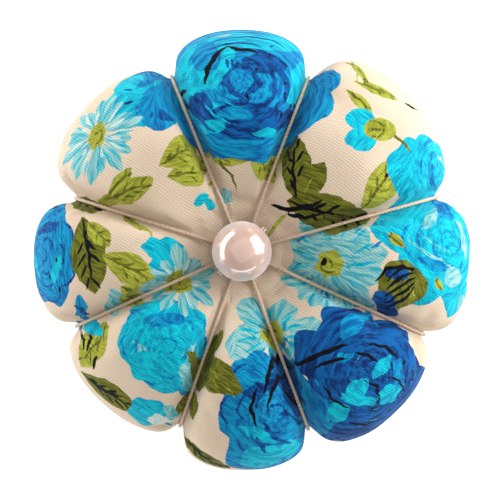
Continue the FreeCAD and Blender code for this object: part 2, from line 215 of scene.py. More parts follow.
# -- the cushion's form
@dataclass
class CushionForm:
    """Skin of the cushion, as rows from the bead to the mouth and columns round the axis."""

    groove_azimuths: tuple[float, ...] = (15.5, 69.0, 112.0, 162.4, 204.3, 250.5, 290.5, 335.4)
    rim_height: float = 17.0
    ring_radius: float = 2.6
    flat_radius: float = 22.0
    mouth_radius: float = 7.6
    lobe_columns: int = 22
    row_spacing: float = 1.25
    even_share: float = 0.55  # share of even spacing between columns
    hub_height: float = 27.3  # height of the skin beside the bead's seat
    crest_azimuth: float = 42.0  # lobe whose crest sets the rows
    outside: float = 0.08  # metres, well outside the cushion
    felt_gap: float = 0.05
    axis: np.ndarray = field(init=False)
    bead_height: float = field(init=False)
    underside: float = field(init=False)
    tree: BVHTree = field(init=False)

    def __post_init__(self) -> None:
        """Read the stitching axis, the heights and the cotton's surface from the frame."""
        low, high = (np.array(corner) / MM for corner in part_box("pearl_bead"))
        self.axis = (low + high)[:2] / 2
        self.bead_height = (low + high)[2] / 2
        self.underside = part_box("base_felt")[1][2] / MM + self.felt_gap
        self.tree = node_tree("cotton_cover")

    def skin_point(self, azimuth: float, ray: float) -> np.ndarray:
        """Outermost point of the cotton on one ray from the middle of the cushion.

        Args:
            azimuth: Azimuth about the stitching axis, in degrees.
            ray: Angle above the rim's height, in degrees.

        Returns:
            The point, in millimetres.
        """
        return np.array(self.cast(self.tree, azimuth, ray)[0]) / MM

    def cast(self, tree: BVHTree, azimuth: float, ray: float) -> tuple[Vector | None,
                                                                       Vector | None]:
        """First hit on a search tree from outside, along one ray to the middle of the cushion.

        Args:
            tree: Search tree to hit.
            azimuth: Azimuth about the stitching axis, in degrees.
            ray: Angle above the rim's height, in degrees.

        Returns:
            The hit and its normal in metres, or none of each.
        """
        turn, slope = radians(azimuth), radians(ray)
        way = Vector((cos(slope) * cos(turn), cos(slope) * sin(turn), sin(slope)))
        middle = Vector((self.axis[0], self.axis[1], self.rim_height)) * MM
        return tree.ray_cast(middle + way * self.outside, -way)[:2]

    def ring(self, radius: float | np.ndarray, turns: np.ndarray,
             height: float | np.ndarray) -> np.ndarray:
        """Points about the stitching axis.

        Args:
            radius: Distance from the stitching axis.
            turns: Azimuths in radians.
            height: Height above the table.

        Returns:
            One point for each azimuth.
        """
        return np.stack([self.axis[0] + radius * np.cos(turns), self.axis[1]
                         + radius * np.sin(turns), np.broadcast_to(height, turns.shape)], axis=-1)

    def columns(self) -> np.ndarray:
        """Azimuths of the columns, closer together beside the grooves.

        Returns:
            Azimuths in degrees, lobe by lobe.
        """
        azimuths = []
        count = len(self.groove_azimuths)
        for lobe, start in enumerate(self.groove_azimuths):
            width = (self.groove_azimuths[(lobe + 1) % count] - start) % 360
            for column in range(self.lobe_columns):
                even = 2 * column / self.lobe_columns - 1
                place = (self.even_share * even + (1 - self.even_share) * sin(even * pi / 2))
                azimuths.append(start + width * (place + 1) / 2)
        return np.array(azimuths)

    def make_rays(self) -> np.ndarray:
        """Rays that split a lobe's crest into rows of even length.

        Returns:
            Angles above the rim's height, in degrees.
        """
        top = degrees(atan2(self.hub_height - self.rim_height, self.ring_radius))
        bottom = degrees(atan2(self.underside - self.rim_height, self.flat_radius))
        fine = np.linspace(top - 0.3, bottom + 0.3, 500)
        crest = np.array([self.skin_point(self.crest_azimuth, ray) for ray in fine])
        length = np.concatenate([[0], np.cumsum(np.linalg.norm(np.diff(crest, axis=0), axis=1))])
        rows = int(round(length[-1] / self.row_spacing))
        return np.interp(np.linspace(0, length[-1], rows + 1), length, fine)

    def grid(self) -> np.ndarray:
        """Points of the skin: rows down the rays, then across the flat underside.

        Returns:
            Points by row and column.
        """
        azimuths = self.columns()
        rows = [[self.skin_point(azimuth, ray) for azimuth in azimuths] for ray in self.make_rays()]
        count = int(round((self.flat_radius - self.mouth_radius) / self.row_spacing / 1.3))
        for step in range(1, count + 1):
            radius = self.flat_radius + (self.mouth_radius - self.flat_radius) * step / count
            rows.append(self.ring(radius, np.radians(azimuths), self.underside))
        return np.array(rows)


def grid_faces(rows: int, columns: int, closed: bool) -> np.ndarray:
    """Quads of a grid that closes round its columns, and round its rows if asked.

    Args:
        rows: Number of rows.
        columns: Number of columns.
        closed: Whether the last row joins the first.

    Returns:
        Corner numbers, four to a quad, facing outwards.
    """
    last = rows if closed else rows - 1
    row, column = np.meshgrid(np.arange(last), np.arange(columns), indexing="ij")
    below, beside = (row + 1) % rows, (column + 1) % columns
    quads = np.stack([row * columns + column, below * columns + column, below * columns + beside,
                      row * columns + beside], axis=-1)
    return quads.reshape(-1, 4)


@dataclass
class ClothSwell:
    """Cloth simulation that lets the filling push the cotton out between the cords."""

    scale: float = 10.0
    pressure: float = 5.0
    spare_cloth: float = 0.035
    frames: int = 24
    cap: float = 2.0
    draw_in: float = 1.6  # mean swells by which the points are drawn back in
    stiffness: float = 40.0

    def swell(self, grid: np.ndarray, held: np.ndarray) -> np.ndarray:
        """Run the cloth and return the grid it comes to.

        Args:
            grid: Rows of points in millimetres.
            held: Which of the points the cord, bead and base hold still.

        Returns:
            The grid after the cloth has settled, each move capped.
        """
        rows, columns = grid.shape[:2]
        faces = grid_faces(rows, columns, False)
        piece = mesh_object("swelling_cotton", grid.reshape(-1, 3) * self.scale, faces)
        group = piece.vertex_groups.new(name="held")
        group.add(np.flatnonzero(held.ravel()).tolist(), 1.0, "REPLACE")
        cloth = piece.modifiers.new("cloth", "CLOTH")
        settings = cloth.settings
        settings.quality = 6
        settings.mass = 0.3
        settings.vertex_group_mass = "held"
        settings.use_pressure = True
        settings.uniform_pressure_force = self.pressure
        settings.shrink_min = -self.spare_cloth
        settings.tension_stiffness = settings.compression_stiffness = self.stiffness
        settings.shear_stiffness = 15
        settings.bending_stiffness = 2.0
        settings.effector_weights.gravity = 0
        cloth.collision_settings.use_collision = False
        cloth.point_cache.frame_start = 1
        cloth.point_cache.frame_end = self.frames
        scene = bpy.context.scene
        for step in range(1, self.frames + 1):
            scene.frame_set(step)
        graph = bpy.context.evaluated_depsgraph_get()
        settled = mesh_points(piece.evaluated_get(graph).data).reshape(grid.shape) / self.scale
        scene.frame_set(1)
        bpy.data.objects.remove(piece)
        move = settled - grid
        size = np.linalg.norm(move, axis=-1, keepdims=True)
        LOG.info("cloth moved up to %.2f mm, %.2f mm on average", size.max(), size.mean())
        move *= np.minimum(1, self.cap / np.maximum(size, 1e-6))
        free = ~held
        drawn = np.zeros_like(move)
        drawn[free] = -self.normals(grid)[free] * np.minimum(size[free],
                                                             self.draw_in * size[free].mean())
        return grid + move + drawn

    def normals(self, grid: np.ndarray) -> np.ndarray:
        """Outward normals of a grid of points.

        Args:
            grid: Rows of points in millimetres.

        Returns:
            One outward normal for each point.
        """
        shell = mesh_object("normals", grid.reshape(-1, 3), grid_faces(*grid.shape[:2], False))
        normals = mesh_normals(shell.data).reshape(grid.shape)
        bpy.data.objects.remove(shell)
        return normals


# -- finishes
class Ink(Enum):
    """Screens of the fabric print, in the order they are laid down."""

    PALE = 0
    CYAN = 1
    AZURE = 2
    DEEP = 3
    WHITE = 4
    LIGHT_LEAF = 5
    OLIVE = 6
    NAVY = 7


@dataclass(frozen=True)
class PrintedCotton:
    """Plain-weave cotton with a reactive print: matt, with threads that catch a little light."""

    name: str = "printed_plain_weave_cotton"
    ground: tuple[str, str] = ("F0E1CD", "E1CBB1")
    inks: dict = field(default_factory=lambda: {Ink.PALE: ("A8DAD8", "38B4C8"),
                                                Ink.CYAN: ("0AD4EA", "069CC4"),
                                                Ink.AZURE: ("06A6D8", "0668B0"),
                                                Ink.DEEP: ("0A66B4", "062E6C"),
                                                Ink.WHITE: ("E6ECE6", "A2DADD"),
                                                Ink.LIGHT_LEAF: ("BAC24C", "90962F"),
                                                Ink.OLIVE: ("7E8427", "50561A"),
                                                Ink.NAVY: ("10111A", "060609"),})
    thread_pitch: float = 0.46  # millimetres from thread to thread
    weave_turn: float = 34.0  # grain of the cloth, in degrees
    edge_softness: float = 0.10  # millimetres over which an ink fades out

    def make(self) -> Material:
        """Build the material: screens laid one over another, streaked, on a woven ground.

        Returns:
            The finished material.
        """
        material, tree = blank_material(self.name)
        cloth = add_node(tree, "ShaderNodeAttribute", attribute_name="cloth").outputs["Vector"]
        brush = add_node(tree, "ShaderNodeAttribute", attribute_name="brush").outputs["Vector"]
        streak = add_node(tree, "ShaderNodeTexNoise", {"Vector": brush, "Scale": 1.0, "Detail": 3.0,
                                                       "Roughness": 0.6}).outputs["Fac"]
        streak = add_node(tree, "ShaderNodeMapRange", {"Value": streak, "From Min": 0.41,
                                                       "From Max": 0.60}).outputs["Result"]
        ragged = add_node(tree, "ShaderNodeTexNoise", {"Vector": cloth, "Scale": 2.2,
                                                       "Detail": 2.0}).outputs["Fac"]
        mottle = add_node(tree, "ShaderNodeTexNoise", {"Vector": cloth, "Scale": 0.16,
                                                       "Detail": 3.0}).outputs["Fac"]
        colour = self.two_tone(tree, self.ground, mottle)
        for ink in Ink:
            screen = add_node(tree, "ShaderNodeAttribute", attribute_name=f"ink_{ink.name.lower()}")
            edge = add_node(tree, "ShaderNodeMath", {0: ragged, 1: 0.16, 2: screen.outputs["Fac"]},
                            operation="MULTIPLY_ADD").outputs[0]
            laid = add_node(tree, "ShaderNodeMath", {0: edge, 1: -1 / self.edge_softness,
                                                     2: 0.5 + 0.08 / self.edge_softness},
                            operation="MULTIPLY_ADD", use_clamp=True).outputs[0]
            tone = self.two_tone(tree, self.inks[ink], streak)
            colour = add_node(tree, "ShaderNodeMix", {0: laid, 6: colour, 7: tone},
                              data_type="RGBA").outputs[2]
        threads = add_node(tree, "ShaderNodeAttribute", attribute_name="threads").outputs["Vector"]
        height, shade = self.weave(tree, threads)
        colour = add_node(tree, "ShaderNodeMix", {0: 1.0, 6: colour, 7: shade}, data_type="RGBA",
                          blend_type="MULTIPLY").outputs[2]
        bump = add_node(tree, "ShaderNodeBump", {"Height": height, "Strength": 0.5,
                                                 "Distance": 0.00008}).outputs["Normal"]
        rough = add_node(tree, "ShaderNodeMapRange", {"Value": height, "To Min": 0.92,
                                                      "To Max": 0.78}).outputs["Result"]
        shader = add_node(tree, "ShaderNodeBsdfPrincipled",
                          {"Base Color": colour, "Roughness": rough, "Normal": bump,
                           "Specular IOR Level": 0.1, "Sheen Weight": 0.04, "Sheen Roughness": 0.5})
        add_node(tree, "ShaderNodeOutputMaterial", {"Surface": shader.outputs[0]})
        return material

    def two_tone(self, tree: NodeTree, tones: tuple[str, str], factor: NodeSocket) -> NodeSocket:
        """Mix an ink's light and dark tones by a factor.

        Args:
            tree: Node tree of the material.
            tones: Light and dark hex colours.
            factor: Socket that chooses between them.

        Returns:
            Colour of the mix.
        """
        mix = add_node(tree, "ShaderNodeMix", {0: factor, 6: linear(tones[0]), 7: linear(tones[1])},
                       data_type="RGBA")
        return mix.outputs[2]

    def weave(self, tree: NodeTree, cloth: NodeSocket) -> tuple[NodeSocket, NodeSocket]:
        """Over-and-under threads of the cloth.

        Args:
            tree: Node tree of the material.
            cloth: Flat coordinates on the cloth, in millimetres.

        Returns:
            Height of the weave from 0 to 1, and the colour that shades its gaps.
        """
        turned = (0, 0, radians(self.weave_turn))
        grain = add_node(tree, "ShaderNodeMapping", {"Vector": cloth,
                                                     "Rotation": turned}).outputs[0]
        slub = add_node(tree, "ShaderNodeTexNoise", {"Vector": grain, "Scale": 0.7,
                                                     "Detail": 1.0}).outputs["Color"]
        bent = add_node(tree, "ShaderNodeVectorMath", {0: slub, 1: (0.35, 0.35, 0), 2: grain},
                        operation="MULTIPLY_ADD").outputs[0]
        turn = add_node(tree, "ShaderNodeVectorMath", {0: bent,
                                                       "Scale": 2 * pi / self.thread_pitch},
                        operation="SCALE").outputs[0]
        parts = add_node(tree, "ShaderNodeSeparateXYZ", {0: turn})
        warp = add_node(tree, "ShaderNodeMath", {0: parts.outputs[0]}, operation="SINE").outputs[0]
        weft = add_node(tree, "ShaderNodeMath", {0: parts.outputs[1]}, operation="SINE").outputs[0]
        cross = add_node(tree, "ShaderNodeMath", {0: warp, 1: weft},
                         operation="MULTIPLY").outputs[0]
        both = add_node(tree, "ShaderNodeMath", {0: cross, 1: 1.2, 2: weft},
                        operation="MULTIPLY_ADD").outputs[0]
        height = add_node(tree, "ShaderNodeMath", {0: both, 1: 0.225, 2: 0.5},
                          operation="MULTIPLY_ADD").outputs[0]
        shade = add_node(tree, "ShaderNodeMix", {0: height, 6: linear("CBC4BD"),
                                                 7: linear("FFFFFF")}, data_type="RGBA").outputs[2]
        return height, shade


@dataclass(frozen=True)
class PearlLacquer:
    """Imitation pearl: a pink-white body under clear lacquer, with a soft nacre bloom."""

    name: str = "pearl_lacquer_on_plastic"
    body: tuple[str, str] = ("C9A18E", "D6B5A7")
    rim: str = "F1F3FA"
    roughness: float = 0.12

    def make(self) -> Material:
        """Build the material, clouded a little, with the bloom as a sheen under the lacquer.

        Returns:
            The finished material.
        """
        material, tree = blank_material(self.name)
        place = add_node(tree, "ShaderNodeTexCoord").outputs["Object"]
        cloud = add_node(tree, "ShaderNodeTexNoise", {"Vector": place, "Scale": 320.0,
                                                      "Detail": 3.0}).outputs["Fac"]
        body = add_node(tree, "ShaderNodeMix", {0: cloud, 6: linear(self.body[0]),
                                                7: linear(self.body[1])},
                        data_type="RGBA").outputs[2]
        rough = add_node(tree, "ShaderNodeMapRange", {"Value": cloud, "To Min": self.roughness,
                                                      "To Max": self.roughness
                                                      + 0.1}).outputs["Result"]
        shader = add_node(tree, "ShaderNodeBsdfPrincipled",
                          {"Base Color": body, "Roughness": rough, "Metallic": 0.1, "IOR": 2.0,
                           "Specular IOR Level": 0.6, "Sheen Weight": 1.0, "Sheen Roughness": 0.5,
                           "Sheen Tint": linear(self.rim), "Coat Weight": 0.8,
                           "Coat Roughness": 0.05})
        add_node(tree, "ShaderNodeOutputMaterial", {"Surface": shader.outputs[0]})
        return material


@dataclass(frozen=True)
class Fibre:
    """Matt fibrous stuff, such as cord, thread, felt or board, mottled at its own scale."""

    name: str
    light: str
    dark: str
    grain: float  # millimetres across one fibre tuft
    roughness: float = 0.85
    relief: float = 0.06  # millimetres of bump
    sheen: float = 0.2

    def make(self) -> Material:
        """Build the material.

        Returns:
            The finished material.
        """
        material, tree = blank_material(self.name)
        place = add_node(tree, "ShaderNodeTexCoord").outputs["Object"]
        tuft = add_node(tree, "ShaderNodeTexNoise", {"Vector": place,
                                                     "Scale": 1 / (self.grain * MM), "Detail": 4.0,
                                                     "Roughness": 0.7}).outputs["Fac"]
        spread = add_node(tree, "ShaderNodeMapRange", {"Value": tuft, "From Min": 0.3,
                                                       "From Max": 0.7}).outputs["Result"]
        colour = add_node(tree, "ShaderNodeMix", {0: spread, 6: linear(self.dark),
                                                  7: linear(self.light)},
                          data_type="RGBA").outputs[2]
        rough = add_node(tree, "ShaderNodeMapRange", {"Value": tuft, "To Min": self.roughness,
                                                      "To Max": self.roughness
                                                      - 0.15}).outputs["Result"]
        bump = add_node(tree, "ShaderNodeBump", {"Height": tuft, "Strength": 0.6,
                                                 "Distance": self.relief * MM}).outputs["Normal"]
        shader = add_node(tree, "ShaderNodeBsdfPrincipled",
                          {"Base Color": colour, "Roughness": rough, "Normal": bump,
                           "Specular IOR Level": 0.3, "Sheen Weight": self.sheen,
                           "Sheen Roughness": 0.4})
        add_node(tree, "ShaderNodeOutputMaterial", {"Surface": shader.outputs[0]})
        return material


PALE, CYAN, AZURE, DEEP, WHITE, LIGHT_LEAF, OLIVE, NAVY = Ink


# -- printed pattern
@dataclass
class PrintPainter:
    """Lays shapes on the flat cloth; a screen holds the distance to its edge, negative inside."""

    cloth: np.ndarray
    overlap: float = 0.14  # millimetres by which a later ink covers an earlier one's edge
    screens: dict = field(init=False)
    brush: np.ndarray = field(init=False)
    warped: np.ndarray = field(init=False)

    def __post_init__(self) -> None:
        """Start with bare ground and a slightly wavering set of coordinates."""
        count = len(self.cloth)
        self.screens = {ink: np.full(count, 3.0) for ink in Ink}
        self.brush = np.zeros((count, 3))
        self.brush[:, :2] = self.cloth[:, :2] * (0.9, 0.25)
        shift = np.stack([ripple(self.cloth, 3.1, 1.0), ripple(self.cloth, 3.1, 2.0)], axis=1)
        fine = np.stack([ripple(self.cloth, 1.1, 3.0), ripple(self.cloth, 1.1, 4.0)], axis=1)
        self.warped = self.cloth[:, :2] + 0.16 * shift + 0.04 * fine

    def near(self, centre: Place, radius: float) -> np.ndarray:
        """Numbers of the cloth points within a radius of a centre."""
        away = self.warped - np.array(centre)
        return np.flatnonzero((away ** 2).sum(axis=1) < radius ** 2)

    def lay(self, ink: Ink, where: np.ndarray, distance: np.ndarray) -> None:
        """Print a shape in one ink, which hides what was printed under it.

        Args:
            ink: Screen that the shape is on.
            where: Cloth points that the distance is given for.
            distance: Distance to the shape's edge, inside negative.
        """
        for other in Ink:
            if other.value > ink.value:
                self.screens[other][where] = np.maximum(self.screens[other][where],
                                                        -distance - self.overlap)
        self.screens[ink][where] = np.minimum(self.screens[ink][where], distance)

    def local(self, where: np.ndarray, centre: Place, turn: float) -> np.ndarray:
        """Cloth points in a frame at a centre, turned counter-clockwise by an angle in degrees.

        Args:
            where: Cloth points, by number.
            centre: Origin of the frame.
            turn: Its angle in degrees.

        Returns:
            The points in that frame.
        """
        angle = radians(turn)
        away = self.warped[where] - np.array(centre)
        rotate = np.array([[cos(angle), -sin(angle)], [sin(angle), cos(angle)]])
        return away @ rotate

    def blob(self, ink: Ink, centre: Place, size: Place, turn: float = 0, scallops: int = 0,
             depth: float = 0.08, phase: float = 0.0) -> None:
        """Oval with an optionally scalloped edge.

        Args:
            ink: Screen it is on.
            centre: Its middle.
            size: Its two radii.
            turn: Angle of the first radius in degrees.
            scallops: Bumps round the edge.
            depth: Share by which they stand out.
            phase: Where the first one stands.
        """
        reach = max(size)
        where = self.near(centre, reach * 1.25 + 3)
        spot = self.local(where, centre, turn) / np.array(size)
        radius = np.hypot(spot[:, 0], spot[:, 1])
        edge = 1 + depth * np.cos(scallops * np.arctan2(spot[:, 1], spot[:, 0]) + phase)
        self.lay(ink, where, (radius - (edge if scallops else 1)) * min(size))

    def stroke(self, ink: Ink, points: list[Place], width: float, taper: bool = True) -> None:
        """Brush stroke along points, thinner at its ends if tapered.

        Args:
            ink: Screen it is on.
            points: Places along it.
            width: Width at its middle.
            taper: Whether its ends are thinner.
        """
        line = np.array(points, dtype=float)
        centre = (line.max(axis=0) + line.min(axis=0)) / 2
        reach = np.linalg.norm(line.max(axis=0) - line.min(axis=0)) / 2
        where = self.near(tuple(centre), reach + width + 3)
        if not len(where):
            return
        spots = self.warped[where]
        runs = np.linalg.norm(np.diff(line, axis=0), axis=1)
        starts = np.concatenate([[0], np.cumsum(runs)])
        best = np.full(len(where), 1e9)
        for place, run in enumerate(runs):
            along = (spots - line[place]) @ (line[place + 1] - line[place]) / max(run, 1e-6) ** 2
            along = np.clip(along, 0, 1)
            foot = line[place] + along[:, None] * (line[place + 1] - line[place])
            share = (starts[place] + along * run) / starts[-1]
            half = width / 2 * (np.sqrt(np.clip(4 * share * (1 - share), 0.04, 1)) if taper else 1)
            best = np.minimum(best, np.linalg.norm(spots - foot, axis=1) - half)
        self.lay(ink, where, best)

    def arc(self, ink: Ink, centre: Place, radius: float, start: float, end: float, width: float,
            squash: float = 1.0, turn: float = 0) -> None:
        """Curved stroke round a centre, from one angle to another.

        Args:
            ink: Screen it is on.
            centre: What it curls round.
            radius: How far out it runs.
            start: First angle in degrees.
            end: Last angle in degrees.
            width: Width at its middle.
            squash: Share of the radius across.
            turn: Angle of the shape in degrees.
        """
        lean = radians(turn)
        points = []
        for step in range(9):
            angle = radians(start + (end - start) * step / 8)
            x, y = radius * cos(angle), radius * squash * sin(angle)
            points.append((centre[0] + x * cos(lean) - y * sin(lean), centre[1] + x * sin(lean)
                           + y * cos(lean)))
        self.stroke(ink, points, width)

    def flow_round(self, centre: Place, radius: float, rays: bool) -> None:
        """Turn the brush streaks near a centre: out along rays, or round it.

        Args:
            centre: Flat cloth place that the streaks follow.
            radius: How far out they do so.
            rays: Whether the streaks run outwards, as on a daisy, or round, as on a rose.
        """
        where = self.near(centre, radius)
        away = self.warped[where] - np.array(centre)
        reach, angle = np.hypot(away[:, 0], away[:, 1]), np.arctan2(away[:, 1], away[:, 0])
        fast, slow = (angle * 9.0, reach * 0.16) if rays else (reach * 1.35, angle * 2.4)
        self.brush[where] = np.stack([fast, slow, np.full(len(where), centre[0] * 3.1)], axis=1)

    def flow_along(self, root: Place, tip: Place, width: float) -> None:
        """Run the brush streaks along a leaf.

        Args:
            root: Its foot.
            tip: Its tip.
            width: Width of the leaf.
        """
        start, end = np.array(root), np.array(tip)
        length = np.linalg.norm(end - start)
        where = self.near(tuple((start + end) / 2), length / 2 + width / 2)
        way = (end - start) / length
        away = self.warped[where] - start
        across, along = away @ np.array([-way[1], way[0]]), away @ way
        self.brush[where] = np.stack([across * 2.6, along * 0.35, np.full(len(where), root[0])],
                                     axis=1)

    def petal(self, ink: Ink, root: Place, tip: Place, width: float, fullness: float = 0.6) -> None:
        """Petal or leaf between two points, widest at a share of its length.

        Args:
            ink: Screen it is on.
            root: Its foot.
            tip: Its tip.
            width: Greatest width.
            fullness: Share of the length where it is widest.
        """
        start, end = np.array(root, dtype=float), np.array(tip, dtype=float)
        length = np.linalg.norm(end - start)
        where = self.near(tuple((start + end) / 2), length / 2 + width + 2)
        if not len(where):
            return
        way = (end - start) / length
        spots = self.warped[where] - start
        along = spots @ way / length
        across = np.abs(spots @ np.array([-way[1], way[0]]))
        inside = np.clip(along, 0, 1)
        power = log(0.5) / log(fullness)
        half = width / 2 * np.sin(pi * inside ** power) ** 0.8
        beyond = np.maximum(np.abs(along - 0.5) - 0.5, 0) * length
        self.lay(ink, where, np.where(beyond > 0, np.hypot(beyond, across), across - half) * 0.9)


# -- pieces
@dataclass
class Cover:
    """Printed cotton over the filling, with its inner face, hub and gathered mouth."""

    form: CushionForm
    swell: ClothSwell = field(default_factory=ClothSwell)
    thickness: float = 0.4
    inner_rows: int = 24
    levels: int = 2
    crease: float = 0.5  # share by which the cloth beside a cord is drawn to it
    crease_width: float = 4.2  # millimetres beside a cord over which it fades
    pucker: float = 0.13  # height of the small puckers beside a cord
    pucker_width: float = 2.6
    pucker_pitch: float = 3.1
    crease_start: Place = (9, 14)  # radius where creases start, and their run-in
    crease_floor: Place = (3, 4)  # height where creases start, and their run-in
    crown: Place = (18, 10)  # height where puckers turn up, and their run-in
    grid: np.ndarray = field(init=False)
    lengths: np.ndarray = field(init=False)

    def shape(self) -> None:
        """Settle the skin's grid and measure the cloth's length down each column."""
        grid = self.form.grid()
        held = np.zeros(grid.shape[:2], dtype=bool)
        step = self.form.lobe_columns
        for beside in (0, 1, step - 1):
            held[:, beside::step] = True
        held[:2] = True
        held[grid[:, :, 2] < self.form.underside + 0.05] = True
        grid = self.swell.swell(grid, held)
        grid = self.crowd(grid)
        self.grid = grid
        runs = np.linalg.norm(np.diff(grid, axis=0), axis=-1)
        hub = np.hypot(*(grid[0, :, :2] - self.form.axis).T)
        self.lengths = np.concatenate([hub[None], hub[None] + np.cumsum(runs, axis=0)])
        LOG.info("cotton round: %.1f to %.1f mm from its middle to the gathers",
                 self.lengths[-1].min(), self.lengths[-1].max())

    def crowd(self, grid: np.ndarray) -> np.ndarray:
        """Press the lobes together over the cords, so that each groove closes to a crease.

        Args:
            grid: Points by row and column.

        Returns:
            The points with their grooves closed.
        """
        away = grid[..., :2] - self.form.axis
        radius = np.hypot(away[..., 0], away[..., 1])
        turn = np.arctan2(away[..., 1], away[..., 0])
        grooves = np.radians(self.form.groove_azimuths)
        gaps = (turn[..., None] - grooves + pi) % (2 * pi) - pi
        nearest = np.argmin(np.abs(gaps), axis=-1)[..., None]
        gap = np.take_along_axis(gaps, nearest, axis=-1)[..., 0]
        aside = gap * radius
        near = np.clip((radius - self.crease_start[0]) / self.crease_start[1], 0, 1)
        high = np.clip((grid[..., 2] - self.crease_floor[0]) / self.crease_floor[1], 0, 1)
        amount = self.crease * near * high
        pucker = amount / self.crease * np.exp(-(np.abs(aside) / self.pucker_width) ** 2)
        pucker *= self.pucker * np.sin(2 * pi * (grid[..., 2] * 0.55 + radius) / self.pucker_pitch
                                       + 2.4 * nearest[..., 0] + 1.3 * np.sin(radius * 0.7))
        radius = radius + pucker * np.clip((self.crown[0] - grid[..., 2]) / self.crown[1] + 1, 0, 1)
        closed = gap * (1 - amount * np.exp(-(aside / self.crease_width) ** 2))
        turn += closed - gap
        grid = grid.copy()
        grid[..., 2] += pucker * np.clip((grid[..., 2] - self.crown[0]) / self.crown[1], 0, 1)
        grid[..., 0] = self.form.axis[0] + radius * np.cos(turn)
        grid[..., 1] = self.form.axis[1] + radius * np.sin(turn)
        return grid

    def flat(self) -> np.ndarray:
        """Flat cloth coordinates of the grid, about the bead, in millimetres.

        Returns:
            Three numbers for each point, by row and column.
        """
        turn = np.radians(self.form.columns())
        return np.stack([self.lengths * np.cos(turn), self.lengths * np.sin(turn),
                         np.zeros_like(self.lengths)], axis=-1)

    def from_above(self, x: float, y: float) -> Place:
        """Flat cloth place of a spot seen from above, both about the bead in millimetres.

        Args:
            x: Distance to the right of the bead.
            y: Distance up from the bead.

        Returns:
            Flat cloth place in millimetres.
        """
        turn = degrees(atan2(y, x)) % 360
        away = np.abs((self.form.columns() - turn + 180) % 360 - 180)
        column = int(np.argmin(away))
        radii = np.hypot(*(self.grid[:, column, :2] - self.form.axis).T)
        rim = int(np.argmax(radii))
        length = float(np.interp(hypot(x, y), radii[:rim + 1], self.lengths[:rim + 1, column],
                                 left=hypot(x, y)))
        return length * cos(radians(turn)), length * sin(radians(turn))

    def thread_places(self) -> np.ndarray:
        """Coordinates of the weave in true millimetres, lobe by lobe, as the gathers hide the rest.

        Returns:
            One place for each point.
        """
        step, half = self.form.lobe_columns, self.form.lobe_columns // 2
        runs = np.linalg.norm(np.roll(self.grid, -1, axis=1) - self.grid, axis=-1)
        azimuths = self.form.columns()
        places = np.zeros_like(self.grid)
        for start in range(0, self.grid.shape[1], step):
            aside = np.cumsum(runs[:, start:start + step], axis=1)
            aside = np.concatenate([np.zeros((len(runs), 1)), aside[:, :-1]], axis=1)
            aside -= aside[:, half:half + 1]
            down = self.lengths[:, start:start + step]
            turn = radians(azimuths[start + half])
            places[:, start:start + step, 0] = down * cos(turn) - aside * sin(turn)
            places[:, start:start + step, 1] = down * sin(turn) + aside * cos(turn)
        return places

    def build(self) -> Object:
        """Close the grid with an inner face, subdivide it and return the plain mesh.

        Returns:
            The cover, with its cloth coordinates.
        """
        rows, columns = self.grid.shape[:2]
        normals = self.swell.normals(self.grid)
        picked = np.round(np.linspace(rows - 1, 0, self.inner_rows)).astype(int)
        inner = (self.grid - normals * self.thickness)[picked]
        flat = self.flat()
        points = np.concatenate([self.grid, inner]).reshape(-1, 3)
        cloth = np.concatenate([flat, flat[picked]]).reshape(-1, 3)
        total = rows + self.inner_rows
        piece = mesh_object("printed_cotton_cover", points, grid_faces(total, columns, True))
        threads = self.thread_places()
        threads = np.concatenate([threads, threads[picked]]).reshape(-1, 3)
        for label, places in (("cloth", cloth), ("threads", threads)):
            store = piece.data.attributes.new(label, "FLOAT_VECTOR", "POINT")
            store.data.foreach_set("vector", places.ravel())
        smooth = piece.modifiers.new("smooth", "SUBSURF")
        smooth.levels = smooth.render_levels = self.levels
        return applied(piece)


